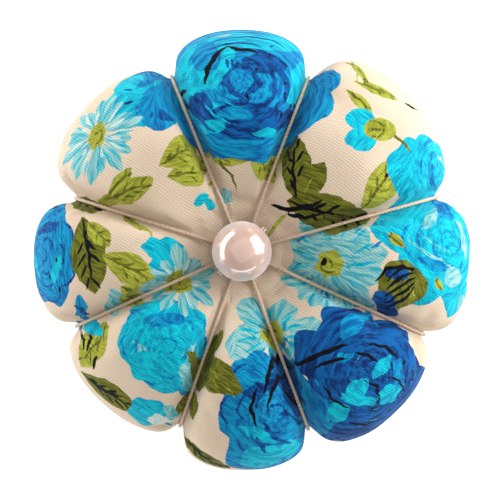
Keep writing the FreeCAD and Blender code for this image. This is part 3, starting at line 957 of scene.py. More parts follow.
@dataclass
class FloralPrint:
    """Fabric print: roses, daisies, buds and leaves in blues and greens on cream.

    Places are as seen from above, in millimetres about the bead; sizes are on the flat cloth.
    """

    cover: Cover
    painter: PrintPainter = field(init=False)

    def paint(self, piece: Object) -> None:
        """Lay the whole print on a piece that has flat cloth coordinates.

        Args:
            piece: Cover with flat cloth coordinates.
        """
        data = piece.data
        flat = np.empty(len(data.vertices) * 3)
        data.attributes["cloth"].data.foreach_get("vector", flat)
        self.painter = PrintPainter(flat.reshape(-1, 3))
        self.hidden_side()
        self.right_side()
        self.lower_right()
        self.lower_left()
        self.left_side()
        self.upper_left()
        self.top()
        for ink in Ink:
            store = data.attributes.new(f"ink_{ink.name.lower()}", "FLOAT", "POINT")
            store.data.foreach_set("value", np.clip(self.painter.screens[ink], -3, 3))
        store = data.attributes.new("brush", "FLOAT_VECTOR", "POINT")
        store.data.foreach_set("vector", self.painter.brush.ravel())

    # -- motifs placed as seen from above
    def at(self, spot: Place) -> Place:
        """Flat cloth place of a spot seen from above."""
        return self.cover.from_above(*spot)

    def stretch(self, place: Place) -> float:
        """How much wider a shape lies on the flat cloth than on the gathered cushion."""
        return min(1.6, hypot(*self.at(place)) / max(hypot(*place), 4))

    def line(self, ink: Ink, spots: list[Place], width: float) -> None:
        """Tapered brush stroke along spots."""
        self.painter.stroke(ink, [self.at(spot) for spot in spots], width)

    def dabs(self, ink: Ink, spots: list[Place], length: float = 0.9, width: float = 0.55,
             turn: float = 60) -> None:
        """Short dabs, all leaning about the same way.

        Args:
            ink: Screen it is on.
            spots: Middles as seen from above.
            length: Length of a dab.
            width: Width of a dab.
            turn: Angle that they lean about.
        """
        for count, spot in enumerate(spots):
            x, y = self.at(spot)
            angle = radians(turn + 35 * sin(2.1 * count))
            dx, dy = length / 2 * cos(angle), length / 2 * sin(angle)
            self.painter.stroke(ink, [(x - dx, y - dy), (x, y), (x + dx, y + dy)], width)

    def spot(self, ink: Ink, place: Place, size: Place, scallops: int = 0, phase: float = 0,
             depth: float = 0.07) -> None:
        """Oval whose first radius points away from the bead.

        Args:
            ink: Screen it is on.
            place: Spot seen from above.
            size: Its two radii.
            scallops: Bumps round the edge.
            phase: Where the first one stands.
            depth: Share by which they stand out.
        """
        x, y = self.at(place)
        size = (size[0], size[1] * self.stretch(place))
        self.painter.blob(ink, (x, y), size, degrees(atan2(y, x)), scallops, depth, phase)

    def spots(self, ink: Ink, *rows: tuple[float, ...], depth: float = 0.07) -> None:
        """Ovals of one ink.

        Args:
            ink: Screen that they are printed on.
            rows: For each, its place, its two radii and its scallops.
            depth: Share by which the scallops stand out.
        """
        for x, y, out, across, scallops in rows:
            self.spot(ink, (x, y), (out, across), scallops, depth=depth)

    def leaf(self, root: Place, tip: Place, width: float, ink: Ink = LIGHT_LEAF, vein: Ink = OLIVE,
             veins: int = 4, vein_width: float = 0.45, flat: bool = False) -> None:
        """Pointed leaf with a mid-rib and side veins, placed on the flat cloth if asked.

        Args:
            root: Foot of the leaf.
            tip: Its tip.
            width: Greatest width.
            ink: Ink of the blade.
            vein: Ink of its veins.
            veins: Pairs of side veins.
            vein_width: Width of a vein.
            flat: Whether its ends are flat cloth places.
        """
        start, end = (np.array(spot if flat else self.at(spot)) for spot in (root, tip))
        self.painter.petal(ink, tuple(start), tuple(end), width, 0.55)
        way = end - start
        side = np.array([-way[1], way[0]]) / np.linalg.norm(way)
        self.painter.flow_along(tuple(start), tuple(end), width)
        bow = start + way * 0.5 + side * width * 0.06
        self.painter.stroke(vein, [tuple(start), tuple(bow), tuple(start + way * 0.86)], vein_width)
        for count in range(veins):
            share = 0.18 + 0.6 * count / max(1, veins - 1)
            foot = start + way * share
            for hand in (-1, 1):
                if (count + hand) % 5 == 4:
                    continue
                reach = foot + way * 0.16 + side * hand * width * 0.33 * sin(pi * share)
                self.painter.stroke(vein, [tuple(foot + side * hand * 0.3), tuple(reach)],
                                    vein_width * 0.85)

    def spoke(self, place: Place, angle: float, reach: float) -> Place:
        """Flat place at a distance and angle from a flower's heart, allowing for the gathers.

        Args:
            place: Heart of the flower.
            angle: Direction in radians.
            reach: Distance from the heart.

        Returns:
            Flat cloth place.
        """
        x, y = self.at(place)
        lean = atan2(y, x)
        out, across = reach * cos(angle - lean), reach * sin(angle - lean)
        across *= self.stretch(place)
        return (x + out * cos(lean) - across * sin(lean), y + out * sin(lean) + across * cos(lean))

    def daisy(self, place: Place, radius: float, petals: int, ink: Ink, stroke: Ink, heart: Place,
              turn: float = 0, width: float = 0.34) -> None:
        """Many-petalled flower with brushed petals and a yellow-green heart.

        Args:
            place: Spot seen from above.
            radius: Length of a petal.
            petals: Number of petals.
            ink: Ink of the petals.
            stroke: Ink of their strokes.
            heart: Two radii of the heart.
            turn: Angle of the first petal in degrees.
            width: Width of a petal over its length.
        """
        x, y = self.at(place)
        for count in range(petals):
            angle = radians(turn + 360 * (count + 0.18 * sin(3.7 * count)) / petals)
            reach = radius * (0.9 + 0.13 * sin(2.3 * count + turn))
            self.painter.petal(ink, self.spoke(place, angle, 0.12 * radius),
                               self.spoke(place, angle, reach), radius * width, 0.66)
        self.painter.flow_round((x, y), radius * 1.1, rays=True)
        for count in range(petals):
            angle = radians(turn + 360 * (count + 0.4 + 0.2 * sin(5.1 * count)) / petals)
            near, far = radius * (0.42 + 0.1 * sin(1.7 * count)), radius * 0.82
            self.painter.stroke(stroke, [self.spoke(place, angle, near),
                                         self.spoke(place, angle + 0.06, far)], 0.42)
        self.painter.blob(LIGHT_LEAF, (x, y), heart, turn, 6, 0.09)
        self.painter.arc(OLIVE, (x, y), heart[0] * 0.62, turn + 100, turn + 300, 0.5,
                         heart[1] / heart[0], turn)
        self.painter.arc(OLIVE, (x, y), heart[0] * 0.25, turn - 60, turn + 100, 0.4)

    def rose(self, place: Place, size: Place, base: Ink, light: Ink, dark: Ink, seed: int,
             folds: int = 7, scallops: int = 6, flat: bool = False) -> None:
        """Full-blown rose: a scalloped round with overlapping petals that curl round its heart.

        Args:
            place: Middle of the rose.
            size: Radii away from the bead and across.
            base: Ink of its round.
            light: Ink of the upper strokes.
            dark: Ink of the folds.
            seed: Number that sets its curls.
            folds: Petals in the outer ring.
            scallops: Bumps round the edge.
            flat: Whether its middle is a flat cloth place.
        """
        x, y = place if flat else self.at(place)
        size = (size[0], size[1] * (1.0 if flat else self.stretch(place)))
        turn = degrees(atan2(y, x))
        painter = self.painter
        painter.blob(base, (x, y), size, turn, scallops, 0.07, seed)
        lean = radians(turn)
        out = np.array([cos(lean), sin(lean)]) * size[0]
        across = np.array([-sin(lean), cos(lean)]) * size[1]
        small = min(size)
        rng = np.random.default_rng(seed)
        for fold in range(3):
            angle = 2 * pi * (fold + 0.2 * seed) / 3
            middle = np.array([x, y]) + 0.52 * (out * cos(angle) + across * sin(angle))
            painter.blob((light, dark, light)[fold], tuple(middle), (small * 0.13, small * 0.44),
                         turn + degrees(angle) + 12, 5, 0.1, fold)
        for ring, share in ((0, 0.74), (1, 0.5), (2, 0.28)):
            count = max(3, folds - 2 * ring)
            for fold in range(count):
                angle = 2 * pi * (fold + 0.37 * ring + 0.15 * rng.random()) / count
                middle = np.array([x, y]) + share * (out * cos(angle) + across * sin(angle))
                facing = turn + degrees(angle)
                curl = small * (0.34 - 0.08 * ring)
                way = np.array([cos(angle + lean), sin(angle + lean)])
                painter.arc(dark, tuple(middle - 0.3 * curl * way), curl, facing - 58
                            - 12 * rng.random(), facing + 52 + 14 * rng.random(), small * 0.03
                            + 0.28)
                painter.arc(light, tuple(middle - 0.75 * curl * way), curl * 1.1, facing - 40,
                            facing + 30 + 14 * rng.random(), small * 0.02 + 0.24)
        painter.arc(dark, (x, y), small * 0.16, turn, turn + 300, 0.45)
        painter.flow_round((x, y), max(size) * 1.15, rays=False)

    def bud(self, place: Place, size: float, turn: float, petal: Ink) -> None:
        """Half-open bud in its green calyx, pointing along a direction in degrees.

        Args:
            place: Spot seen from above.
            size: Radius of the calyx.
            turn: Direction in degrees.
            petal: Ink of the petals.
        """
        x, y = self.at(place)
        way = np.array([cos(radians(turn)), sin(radians(turn))])
        side = np.array([-way[1], way[0]])
        heart = np.array([x, y])
        for hand in (-1, 1):
            self.painter.blob(petal, tuple(heart + way * size * 0.95 + side * hand * size * 0.62),
                              (size * 1.15, size * 0.8), turn + 14 * hand, 3, 0.1, 1.57 * hand)
        self.painter.blob(LIGHT_LEAF, tuple(heart - way * size * 0.3), (size * 1.15, size * 0.8),
                          turn)
        for hand in (-0.5, 0, 0.5):
            root = heart - way * size * 0.8 + side * hand * size * 0.4
            self.painter.stroke(OLIVE, [tuple(root), tuple(heart + side * hand * size * 1.1),
                                        tuple(heart + way * size * 0.6 + side * hand * size)], 0.5)

    # -- the print, lobe by lobe
    def top(self) -> None:
        """Great azure rose of the top lobe, with the leaves that show under it."""
        spot, line, leaf, spots = self.spot, self.line, self.leaf, self.spots
        leaf((-7.5, 17), (1.5, 15.6), 3.4, veins=3)
        leaf((1, 18), (5.4, 11.2), 4.2, veins=3)
        leaf((8.5, 19.5), (4.6, 13.5), 2.6, veins=2)
        line(OLIVE, [(-3.8, 17), (-3.1, 14.4), (-1.4, 12.6), (-0.8, 10.2)], 0.5)
        line(LIGHT_LEAF, [(-5.5, 14), (-4.6, 12), (-5.8, 9.9)], 0.5)
        spots(CYAN, (-6.9, 8.6, 1, 1.5, 3), (-5.4, 7.9, 1.3, 0.8, 3))
        spot(PALE, (-2.6, 9.3), (1.6, 1), 5, depth=0.16)
        rose = (0.3, 27.6)
        spot(AZURE, rose, (13.6, 15), 7, 0.6, 0.05)
        spot(AZURE, (0.3, 35.6), (9, 14), 7, 0.6, 0.03)
        self.painter.flow_round(self.at(rose), 16, rays=False)
        spots(CYAN, (-6, 33, 7, 4.6, 4), (-9.6, 28, 7.5, 2.6, 3), (2, 36.2, 4, 8, 5),
              (9.8, 28.8, 7.5, 2.4, 3), (-5.2, 23, 2, 3.4, 4))
        spot(AZURE, (-5.9, 33.2), (4.2, 2.2), 3)
        spot(PALE, (-3.6, 36.6), (1, 2.2), 3)
        spots(DEEP, (1, 21.6, 3, 7.4, 4), (-6.4, 24.6, 2.4, 1.8, 3), (3.6, 31.6, 2.2, 3.4, 4))
        spot(AZURE, (-1.2, 22.6), (1.5, 3), 3)
        spots(CYAN, (-4.4, 20.8, 1.3, 2.4, 3), (3.6, 19.8, 1, 2.6, 3))
        heart = self.at((0.2, 28.2))
        self.painter.blob(DEEP, heart, (3.1, 3.5), 0, 4, 0.1)
        self.painter.blob(AZURE, (heart[0] - 0.4, heart[1] + 0.5), (2.2, 2.5), 20, 3, 0.1)
        for radius, start, end, ink, width in ((1.4, 150, 395, CYAN, 0.4),
                                               (3.4, 175, 400, CYAN, 0.45),
                                               (4.4, 30, 200, DEEP, 0.6),
                                               (4.6, 215, 330, DEEP, 0.8),
                                               (5.6, 195, 300, CYAN, 0.5),
                                               (6.4, 320, 400, DEEP, 0.8),
                                               (7.2, 225, 335, DEEP, 0.8), (7.6, 20, 75, DEEP, 0.9),
                                               (8.6, 200, 262, CYAN, 0.6),
                                               (8.8, 250, 320, DEEP, 0.9),
                                               (9.9, 60, 130, DEEP, 0.6),
                                               (10.6, 205, 250, DEEP, 0.7),
                                               (11.2, 95, 160, AZURE, 0.7),
                                               (12.4, 50, 110, DEEP, 0.6),
                                               (13.6, 45, 120, AZURE, 0.7),
                                               (15.2, 60, 140, AZURE, 0.7),
                                               (17, 30, 90, AZURE, 0.8), (19, 60, 130, DEEP, 0.6)):
            middle = (heart[0] + 0.9 * sin(1.7 * radius), heart[1] + 0.7 * cos(2.3 * radius))
            self.painter.arc(ink, middle, radius, start, end, width, 0.95)
        for step in range(5):
            x = -2.6 + 0.95 * step
            line(DEEP, [(x, 32.4 - 0.2 * step), (x + 0.2, 30.6)], 0.6)
        line(NAVY, [(-5.9, 27.9), (-5.7, 30.2), (-4.6, 32.6), (-2.5, 34.6)], 0.95)
        line(NAVY, [(-2.5, 34.6), (-0.8, 33.9), (1, 33.9), (2.9, 33.2)], 0.8)
        line(DEEP, [(2.9, 33.2), (5.8, 31), (7.2, 28), (6.4, 25)], 1.2)
        self.dabs(NAVY, [(2.3, 30.5), (0.9, 25.8), (4.8, 34.6), (4.6, 33.1), (6.7, 28.2),
                         (6.6, 26.5), (7.7, 24.7), (8.4, 24.3), (6.9, 23.6), (7.4, 22.5),
                         (6.1, 23)])
        self.painter.blob(NAVY, self.at((-9.6, 26.8)), (1, 0.55), 30)

    def upper_left(self) -> None:
        """Pale daisy, azure petals and light leaves of the upper left lobe."""
        spot, leaf, spots = self.spot, self.leaf, self.spots
        leaf((-24.6, 7.8), (-14.6, 12.2), 4.4, veins=5)
        leaf((-23, 9.4), (-18.3, 14), 2.4, veins=2)
        leaf((-13.8, 14.2), (-7.4, 19), 6, veins=4)
        leaf((-12.6, 12.2), (-5.6, 14.4), 4.8, veins=3)
        self.line(NAVY, [(-7.6, 17.4), (-6.5, 15.4)], 0.7)
        spot(CYAN, (-17.6, 25.8), (6.4, 5.6), 6)
        spots(AZURE, (-13.8, 24.2, 4.6, 4.2, 5), (-15.5, 29.6, 4.2, 5.2, 5))
        spot(DEEP, (-12.8, 23.2), (2, 1.8), 4)
        spot(CYAN, (-19.4, 28.4), (3, 2.6), 4)
        self.painter.flow_round(self.at((-15.2, 26.4)), 8.5, rays=True)
        for angle in range(20, 340, 32):
            x, y = -15.2 + 3.4 * cos(angle), 26.2 + 3.0 * sin(angle)
            self.line(DEEP if angle % 3 else PALE, [(x, y),
                                                    (x + 1.7 * cos(angle), y + 1.4 * sin(angle))],
                      0.55)
        self.daisy((-24.3, 19.4), 8.6, 17, PALE, CYAN, (2.6, 1.7), 76, 0.26)
        self.daisy_light((-24.3, 19.4), 8, 11)

    def daisy_light(self, place: Place, radius: float, petals: int) -> None:
        """White brush strokes over some petals of a daisy.

        Args:
            place: Spot seen from above.
            radius: Length of a petal.
            petals: Number of strokes.
        """
        for count in range(petals):
            angle = 0.5 + 2 * pi * (count + 0.25 * sin(4.3 * count)) / petals
            near, far = radius * 0.34, radius * (0.7 + 0.16 * sin(2.9 * count))
            self.painter.stroke(WHITE, [self.spoke(place, angle, near),
                                        self.spoke(place, angle, far)], 0.7)

    def right_side(self) -> None:
        """Upper right and right lobes: buds and olive leaves, a cyan rose and a pale daisy."""
        spot, line, leaf, spots = self.spot, self.line, self.leaf, self.spots
        spot(PALE, (14.2, -1.8), (7.6, 7.2), 9, depth=0.12)
        self.daisy((14.6, -2.1), 9.8, 15, PALE, CYAN, (2.5, 2.2), 8, 0.42)
        for x, y, dx, dy in ((9.2, 1.6, 1.6, 0.9), (13.2, 3.4, 0.2, 1.6), (18.8, 2.6, 1.9, 1.2),
                             (21.4, 0.2, 2, 0.9), (10.2, -5.6, 0.9, 1.4), (13.6, -8.2, 0.3, 1.6),
                             (17.8, -7.4, 1.2, 1.2), (8.8, -2.4, 1.5, 0.4)):
            line(AZURE, [(x, y), (x + dx, y + dy)], 0.5)
        self.painter.blob(NAVY, self.at((13.7, -1.7)), (0.55, 0.5), 0)
        leaf((20, 7.4), (27, 15.8), 5.4, veins=4)
        line(NAVY, [(23.6, 12.6), (25, 13.6), (26.6, 14.2)], 0.9)
        spots(CYAN, (29.6, 12.6, 5.6, 6.6, 5), (31.6, 16.6, 4.4, 3.4, 4))
        self.rose((33.4, 13.2), (6.6, 6), CYAN, PALE, AZURE, 2)
        leaf((9.2, 8.2), (9.4, 19.8), 5.8, OLIVE, NAVY, 4, 0.62)
        leaf((9.8, 8.6), (13.9, 14.8), 4.2, OLIVE, LIGHT_LEAF, 3)
        leaf((7.6, 8.4), (21.4, 4.8), 8.2, OLIVE, NAVY, 5, 0.66)
        line(NAVY, [(4.9, 7.9), (7.6, 7), (10.6, 7.4), (13.4, 8.9)], 0.9)
        line(NAVY, [(7.4, 6.4), (10.4, 5.8), (13.4, 6.6)], 0.8)
        line(LIGHT_LEAF, [(7.4, 6.2), (5.4, 4.2), (4.2, 2.4)], 0.8)
        spots(AZURE, (10.6, 22.6, 2.4, 0.9, 3), (12, 25.6, 2.2, 1, 4))
        spot(DEEP, (11.4, 24.2), (1.4, 0.7), 3)
        spot(AZURE, (14.6, 28.8), (3.4, 2.1), 0)
        self.painter.arc(DEEP, self.at((14.6, 28.6)), 2.3, 20, 270, 0.8)
        self.painter.arc(CYAN, self.at((15.1, 29)), 0.8, 90, 300, 0.5)
        leaf((18.8, 28.6), (26.4, 25.6), 2.4, veins=3)
        leaf((17.6, 32.2), (21.2, 27.8), 1.8, veins=2)
        leaf((17.4, 27.2), (21.8, 23.2), 2.2, veins=2)
        line(LIGHT_LEAF, [(18.4, 33.6), (19.6, 31), (19.2, 28.4)], 0.6)
        line(OLIVE, [(24.6, 20), (27, 18.4), (28.6, 16.4)], 0.6)
        self.bud((22.4, 20.4), 2.7, 182, CYAN)
        line(NAVY, [(27.4, 25), (29.8, 24)], 0.75)
        line(LIGHT_LEAF, [(28, 27.6), (30.4, 23.6)], 0.5)
        spots(CYAN, (27.6, 4.4, 6.4, 5, 4), (30.8, -2.6, 5.8, 6.4, 3), depth=0.05)
        self.rose((34.6, 1.8), (9.4, 8.8), CYAN, PALE, AZURE, 5, 4)
        line(PALE, [(27.6, 1.8), (31.6, -0.8), (36, -3)], 0.9)
        line(PALE, [(28.2, 3.6), (32.4, 0.8), (36.6, -0.8)], 0.6)
        spot(AZURE, (34.4, 7.4), (3.6, 2.6), 4)
        self.dabs(DEEP, [(33.3, 8.6), (34.8, 7.6), (35.6, 8.8), (36.4, 7), (34, 6.6), (37.2, 6.2)],
                  0.7, 0.6)
        spot(CYAN, (36.6, -7.2), (4.6, 3.6), 4)
        spots(PALE, (35.6, -4.4, 2.6, 1.8, 3), (37.3, -8.4, 2.2, 1.2, 3))
        leaf((27.2, 0.2), (24.4, 2.6), 1.8, LIGHT_LEAF, OLIVE, 2)
        leaf((33.8, -6.8), (32.4, -4.4), 1.4, LIGHT_LEAF, OLIVE, 2)
        spot(OLIVE, (26.8, -5.6), (4.6, 3.9), 3)
        spots(DEEP, (23.9, -8.2, 2.4, 2.2, 3), (26, -3.6, 2.4, 1.2, 2))
        leaf((28.6, -8.9), (28, -5.2), 1.5, LIGHT_LEAF, OLIVE, 1)
        for shift in (-2.9, -1.5, -0.1, 1.3, 2.7):
            line(NAVY, [(29.2, -4.2 + 0.45 * shift), (26.8, -5.2 + 0.95 * shift),
                        (24, -7.0 + 0.8 * shift)], 0.55)
        line(NAVY, [(22.4, -4.6), (23.8, -3), (26.6, -2.4), (29, -3.4)], 0.6)

    def lower_right(self) -> None:
        """Deep-blue roses of the lower right and bottom lobes, with a pale flower above them."""
        spot, line, spots = self.spot, self.line, self.spots
        spots(PALE, (1.2, -10, 3.4, 1.9, 3), (0.4, -15.6, 3.6, 2.6, 4), (6.8, -10.6, 2.8, 2.4, 5),
              (10.6, -13.4, 2.6, 2.6, 4), (9.6, -16.6, 2.2, 2, 4))
        spot(PALE, (5, -14.2), (3.6, 3.2), 7, depth=0.14)
        self.painter.flow_round(self.at((5, -14)), 7.5, rays=True)
        for angle in range(0, 360, 24):
            turn = radians(angle)
            x, y = 5.0 + 2.6 * cos(turn), -14.0 + 2.2 * sin(turn)
            line(CYAN, [(x, y), (x + 3.0 * cos(turn), y + 2.4 * sin(turn))], 0.6)
        self.painter.blob(LIGHT_LEAF, self.at((5.2, -14.4)), (2.2, 2.4), 0, 5, 0.12)
        self.painter.arc(OLIVE, self.at((5.2, -14.4)), 1.2, 40, 250, 0.6)
        self.dabs(AZURE, [(3.4, -12.6), (7.2, -12.4), (7.4, -15.4)], 1.8, 0.9, 30)
        spot(AZURE, (6.2, -34), (9, 9.2), 5, depth=0.04)
        self.rose((5.4, -27), (10.8, 8.8), AZURE, CYAN, DEEP, 3)
        spot(DEEP, (7.8, -22.6), (6.4, 2.2), 3)
        spot(AZURE, (2.6, -19.2), (2.8, 2), 3)
        spots(CYAN, (3.2, -35.2, 4.2, 3.6, 5), (7.6, -33.4, 3.4, 1.8, 4))
        for points, width in (([(6.4, -16.4), (4.6, -18.6), (3.6, -21.6), (3.4, -24)], 0.85),
                              ([(8.4, -18.6), (5.8, -20.8), (4.4, -23.8), (3.8, -27)], 0.65),
                              ([(2.2, -22.4), (1.4, -26), (2.4, -29.4)], 0.7),
                              ([(6, -22), (7.6, -24.8), (10.2, -26.6)], 0.8)):
            line(NAVY, points, width)
        for points in ([(3.4, -28.6), (5.2, -31.4), (8, -32.6)], [(2.2, -31), (4, -34)],
                       [(5.6, -27.4), (8.6, -29), (10.4, -29.2)]):
            line(DEEP, points, 0.9)
        self.leaf((-11.2, -30.8), (-1.8, -37), 4.6, OLIVE, NAVY, 5, 0.6)
        spot(DEEP, (25, -27.4), (10.6, 9.6), 5, depth=0.04)
        spot(AZURE, (14.6, -28.6), (6.4, 4.6), 4, depth=0.05)
        spot(DEEP, (18.4, -31), (5, 4), 4, depth=0.05)
        self.rose((21.6, -20.8), (12.4, 8.4), DEEP, AZURE, CYAN, 7, 8)
        spots(DEEP, (26.4, -26.6, 4, 6, 4), (17.6, -13.2, 5.2, 3.6, 4))
        spot(AZURE, (18.2, -12.4), (1.8, 3), 4)
        spots(DEEP, (12.4, -17, 4.6, 3.2, 4), (24.4, -15.8, 3.6, 3, 4))
        spots(CYAN, (19.2, -23.2, 1.9, 2.6, 4), (16.4, -27, 2.2, 1.9, 4),
              (24.8, -24.2, 2.4, 2.2, 5), (23.4, -19.4, 1.4, 2.4, 4))
        for points, width in (([(7.6, -19.6), (10.8, -18.2), (14, -16.6), (17.6, -15.6)], 0.8),
                              ([(12.2, -19.4), (14.8, -18.2), (17.6, -17.8)], 0.6),
                              ([(18.6, -17), (20.8, -17.4), (22.8, -18.8)], 0.6),
                              ([(20.8, -15.6), (23.8, -16.2), (26, -18.2)], 0.55),
                              ([(13.6, -21.4), (15.2, -24.6), (18.4, -26.4)], 0.5),
                              ([(20, -21.4), (22.6, -22.6), (23.2, -25.6)], 0.5),
                              ([(18, -28.6), (21, -29.4), (23.2, -28.4)], 0.5),
                              ([(24, -20.8), (26.4, -21.8), (27.6, -24.2)], 0.5)):
            line(NAVY, points, width)
        self.dabs(NAVY, [(27.6, -22), (28.6, -20.4), (29, -21.8), (27, -19), (26.4, -24.8),
                         (22, -26.6), (15.4, -28.4), (19.6, -30.4), (25, -27)])
        line(LIGHT_LEAF, [(30.6, -14), (31.8, -16), (31, -18.6)], 0.7)

    def lower_left(self) -> None:
        """Cyan rose, leaves and small flowers of the lower left lobe."""
        spot, line, leaf = self.spot, self.line, self.leaf
        leaf((-8.6, -22.8), (-11.8, -27.6), 2, OLIVE, LIGHT_LEAF, 2)
        leaf((-7.6, -22.6), (-7.8, -29), 1.8, OLIVE, LIGHT_LEAF, 2)
        self.rose((-12.4, -15.6), (8, 7.6), CYAN, PALE, AZURE, 4, 7, 5)
        spot(PALE, (-9.4, -21.2), (2.4, 2.2), 4)
        spot(CYAN, (-16.2, -19.2), (3, 2.6), 4)
        leaf((-9.8, -16.4), (0.2, -23.6), 5.6, OLIVE, LIGHT_LEAF, 4, 0.6)
        leaf((-6.2, -19.4), (-3.4, -13), 2.6, OLIVE, LIGHT_LEAF, 2)
        leaf((-22.6, -12.2), (-27.2, -19.8), 5, LIGHT_LEAF, OLIVE, 4)
        spot(CYAN, (-25.4, -13.2), (2.2, 2), 4)
        spot(AZURE, (-27.6, -12.6), (2.2, 1.2), 3)
        line(NAVY, [(-27.4, -12), (-27, -14.6), (-26.4, -17)], 0.85)
        line(NAVY, [(-25.6, -14.4), (-25.8, -17.2)], 0.7)
        line(NAVY, [(-24.2, -17.8), (-25, -20)], 0.7)
        leaf((-27.4, -20.4), (-17.4, -27), 6.4, OLIVE, NAVY, 5, 0.66)
        line(NAVY, [(-26.6, -21.2), (-23.6, -23.4), (-20, -24.6)], 0.85)
        spot(CYAN, (-15.8, -27.9), (4.4, 3.8), 6)
        spot(WHITE, (-14.2, -28.6), (2.4, 1.9), 5, depth=0.12)
        spot(PALE, (-12.6, -27.4), (1.6, 1.6), 4)
        self.dabs(AZURE, [(-17.6, -26.4), (-16.2, -28.8), (-13, -29.2)], 1.4, 0.6, 20)

    def left_side(self) -> None:
        """Left lobe: rim rose, dark leaves, sprigs, and a daisy across the lower cord."""
        spot, leaf, spots = self.spot, self.leaf, self.spots
        self.rose((-33.6, -0.6), (8.6, 8.4), AZURE, CYAN, DEEP, 6, 7)
        spot(AZURE, (-33.6, 6.8), (5, 2.4), 3)
        self.dabs(NAVY, [(-31.2, -1.4), (-32.4, -4.2), (-33.2, 2), (-30.6, -6.2)], 1.2, 0.5, 70)
        leaf((-31.8, 9.4), (-22.6, 6.8), 3.8, OLIVE, NAVY, 4, 0.62)
        leaf((-27, 5.6), (-24.8, -6.6), 7, OLIVE, NAVY, 5, 0.62)
        leaf((-26.2, 4.4), (-21.8, 0.6), 3.6, LIGHT_LEAF, OLIVE, 3)
        leaf((-23.6, -0.4), (-15, -5.4), 5, veins=4)
        leaf((-20.4, -5.2), (-16.4, -9.2), 3.4, veins=3)
        self.line(LIGHT_LEAF, [(-20.6, 6.6), (-18.6, 4.4), (-15.4, 3.4), (-15, 1.8)], 0.9)
        leaf((-20.2, 6.2), (-16.6, 3.4), 1.8, veins=2)
        spots(CYAN, (-14.6, 0.4, 2.2, 1.4, 4), (-12.2, 0.8, 2.6, 1.4, 4), (-13, -1.8, 2.8, 1.5, 4),
              depth=0.14)
        spot(PALE, (-10.6, -0.6), (1.8, 1.2), 3)
        self.daisy((-10.8, -5.5), 7, 13, PALE, CYAN, (2.1, 2.4), 20, 0.34)
        self.daisy_light((-10.8, -5.5), 6, 7)
        spot(AZURE, (-27, -9.4), (1.4, 2.6), 3)
        self.line(DEEP, [(-28.6, -8.6), (-25.6, -10.2)], 0.7)
        spot(PALE, (-21.8, -8.6), (1.6, 2.8), 4)

    def hidden_side(self) -> None:
        """Print that runs on over the rim and under the cushion, the same motifs by turns."""
        sprigs = 30
        for place in range(sprigs):
            turn = radians(360 * place / sprigs + 9)
            far = (75, 52, 64)[place % 3] + 2.5 * sin(2.7 * place)
            spot = (far * cos(turn), far * sin(turn))
            self.flat_leaf(spot, turn + 1.3 + 0.5 * sin(1.3 * place), 11, LIGHT_LEAF, OLIVE)
            self.flat_leaf(spot, turn - 1.2 + 0.4 * sin(3.1 * place), 9.5, OLIVE, LIGHT_LEAF)
            if place % 2:
                self.painter.blob(CYAN, spot, (2.6, 4.2), degrees(turn), 5, 0.16)
                self.painter.blob(PALE, spot, (1.2, 2), degrees(turn), 5, 0.16)
        count = 26
        for place in range(count):
            turn = radians(360 * place / count + 4)
            far = (56.5, 70, 63.5)[place % 3] + 2.0 * sin(1.9 * place)
            spot = (far * cos(turn), far * sin(turn))
            kind = place % 4
            if kind == 0:
                self.rose(spot, (8.2, 12), AZURE, CYAN, DEEP, place, flat=True)
            elif kind == 1:
                self.flat_leaf(spot, turn + 1.1, 13, OLIVE, NAVY)
                self.flat_leaf(spot, turn + 2.3, 9.5, LIGHT_LEAF, OLIVE)
            elif kind == 2:
                self.rose(spot, (7, 10.2), CYAN, PALE, AZURE, place, flat=True)
            else:
                self.flat_leaf(spot, turn - 0.7, 12, LIGHT_LEAF, OLIVE)
                self.flat_leaf(spot, turn + 0.6, 9, OLIVE, LIGHT_LEAF)

    def flat_leaf(self, root: Place, angle: float, length: float, ink: Ink, vein: Ink) -> None:
        """Leaf on the hidden side, from a flat cloth place along an angle in radians."""
        tip = (root[0] + length * cos(angle), root[1] + length * sin(angle))
        self.leaf(root, tip, length * 0.62, ink, vein, 4, 0.6, flat=True)


@dataclass
class Filling:
    """Packed fibre under the cotton, a little lumpy."""

    cover: Cover
    depth: float = 0.90  # millimetres from the cotton's face to the fibre
    lump: float = 0.12
    channel_radius: float = 2.2  # hole up the middle, for the cord and the bead's thread
    clearance: float = 0.3  # millimetres left round the card

    def build(self) -> Object:
        """Move a copy of the cover's grid in and close it at the hub and the mouth.

        Returns:
            The filling, with its channel.
        """
        rows, columns = self.cover.grid.shape[:2]
        normals = self.cover.swell.normals(self.cover.grid)
        points = self.cover.grid - normals * self.depth
        lumps = ripple(self.cover.flat().reshape(-1, 3), 4.0, 7.0).reshape(rows, columns, 1)
        points += normals * self.lump * lumps
        form = self.cover.form
        turns = np.radians(form.columns())
        low, high = (np.array(corner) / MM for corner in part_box("base_card"))
        floor = high[2] + self.clearance
        reach = np.hypot(points[..., 0] - form.axis[0], points[..., 1] - form.axis[1])
        over_card = (reach < (high - low)[0] / 2 + self.clearance) & (points[..., 2] < floor)
        points[over_card, 2] = floor
        walls = [(radius, floor) for radius in (5.8, 4.0)]
        walls += [(self.channel_radius, height) for height in np.linspace(floor,
                                                                          points[0, :, 2].mean(),
                                                                          10)]
        inner = [form.ring(radius, turns, height) for radius, height in walls]
        total = np.concatenate([points, inner])
        piece = mesh_object("polyester_fibre_filling", total.reshape(-1, 3),
                            grid_faces(len(total), columns, True))
        return piece


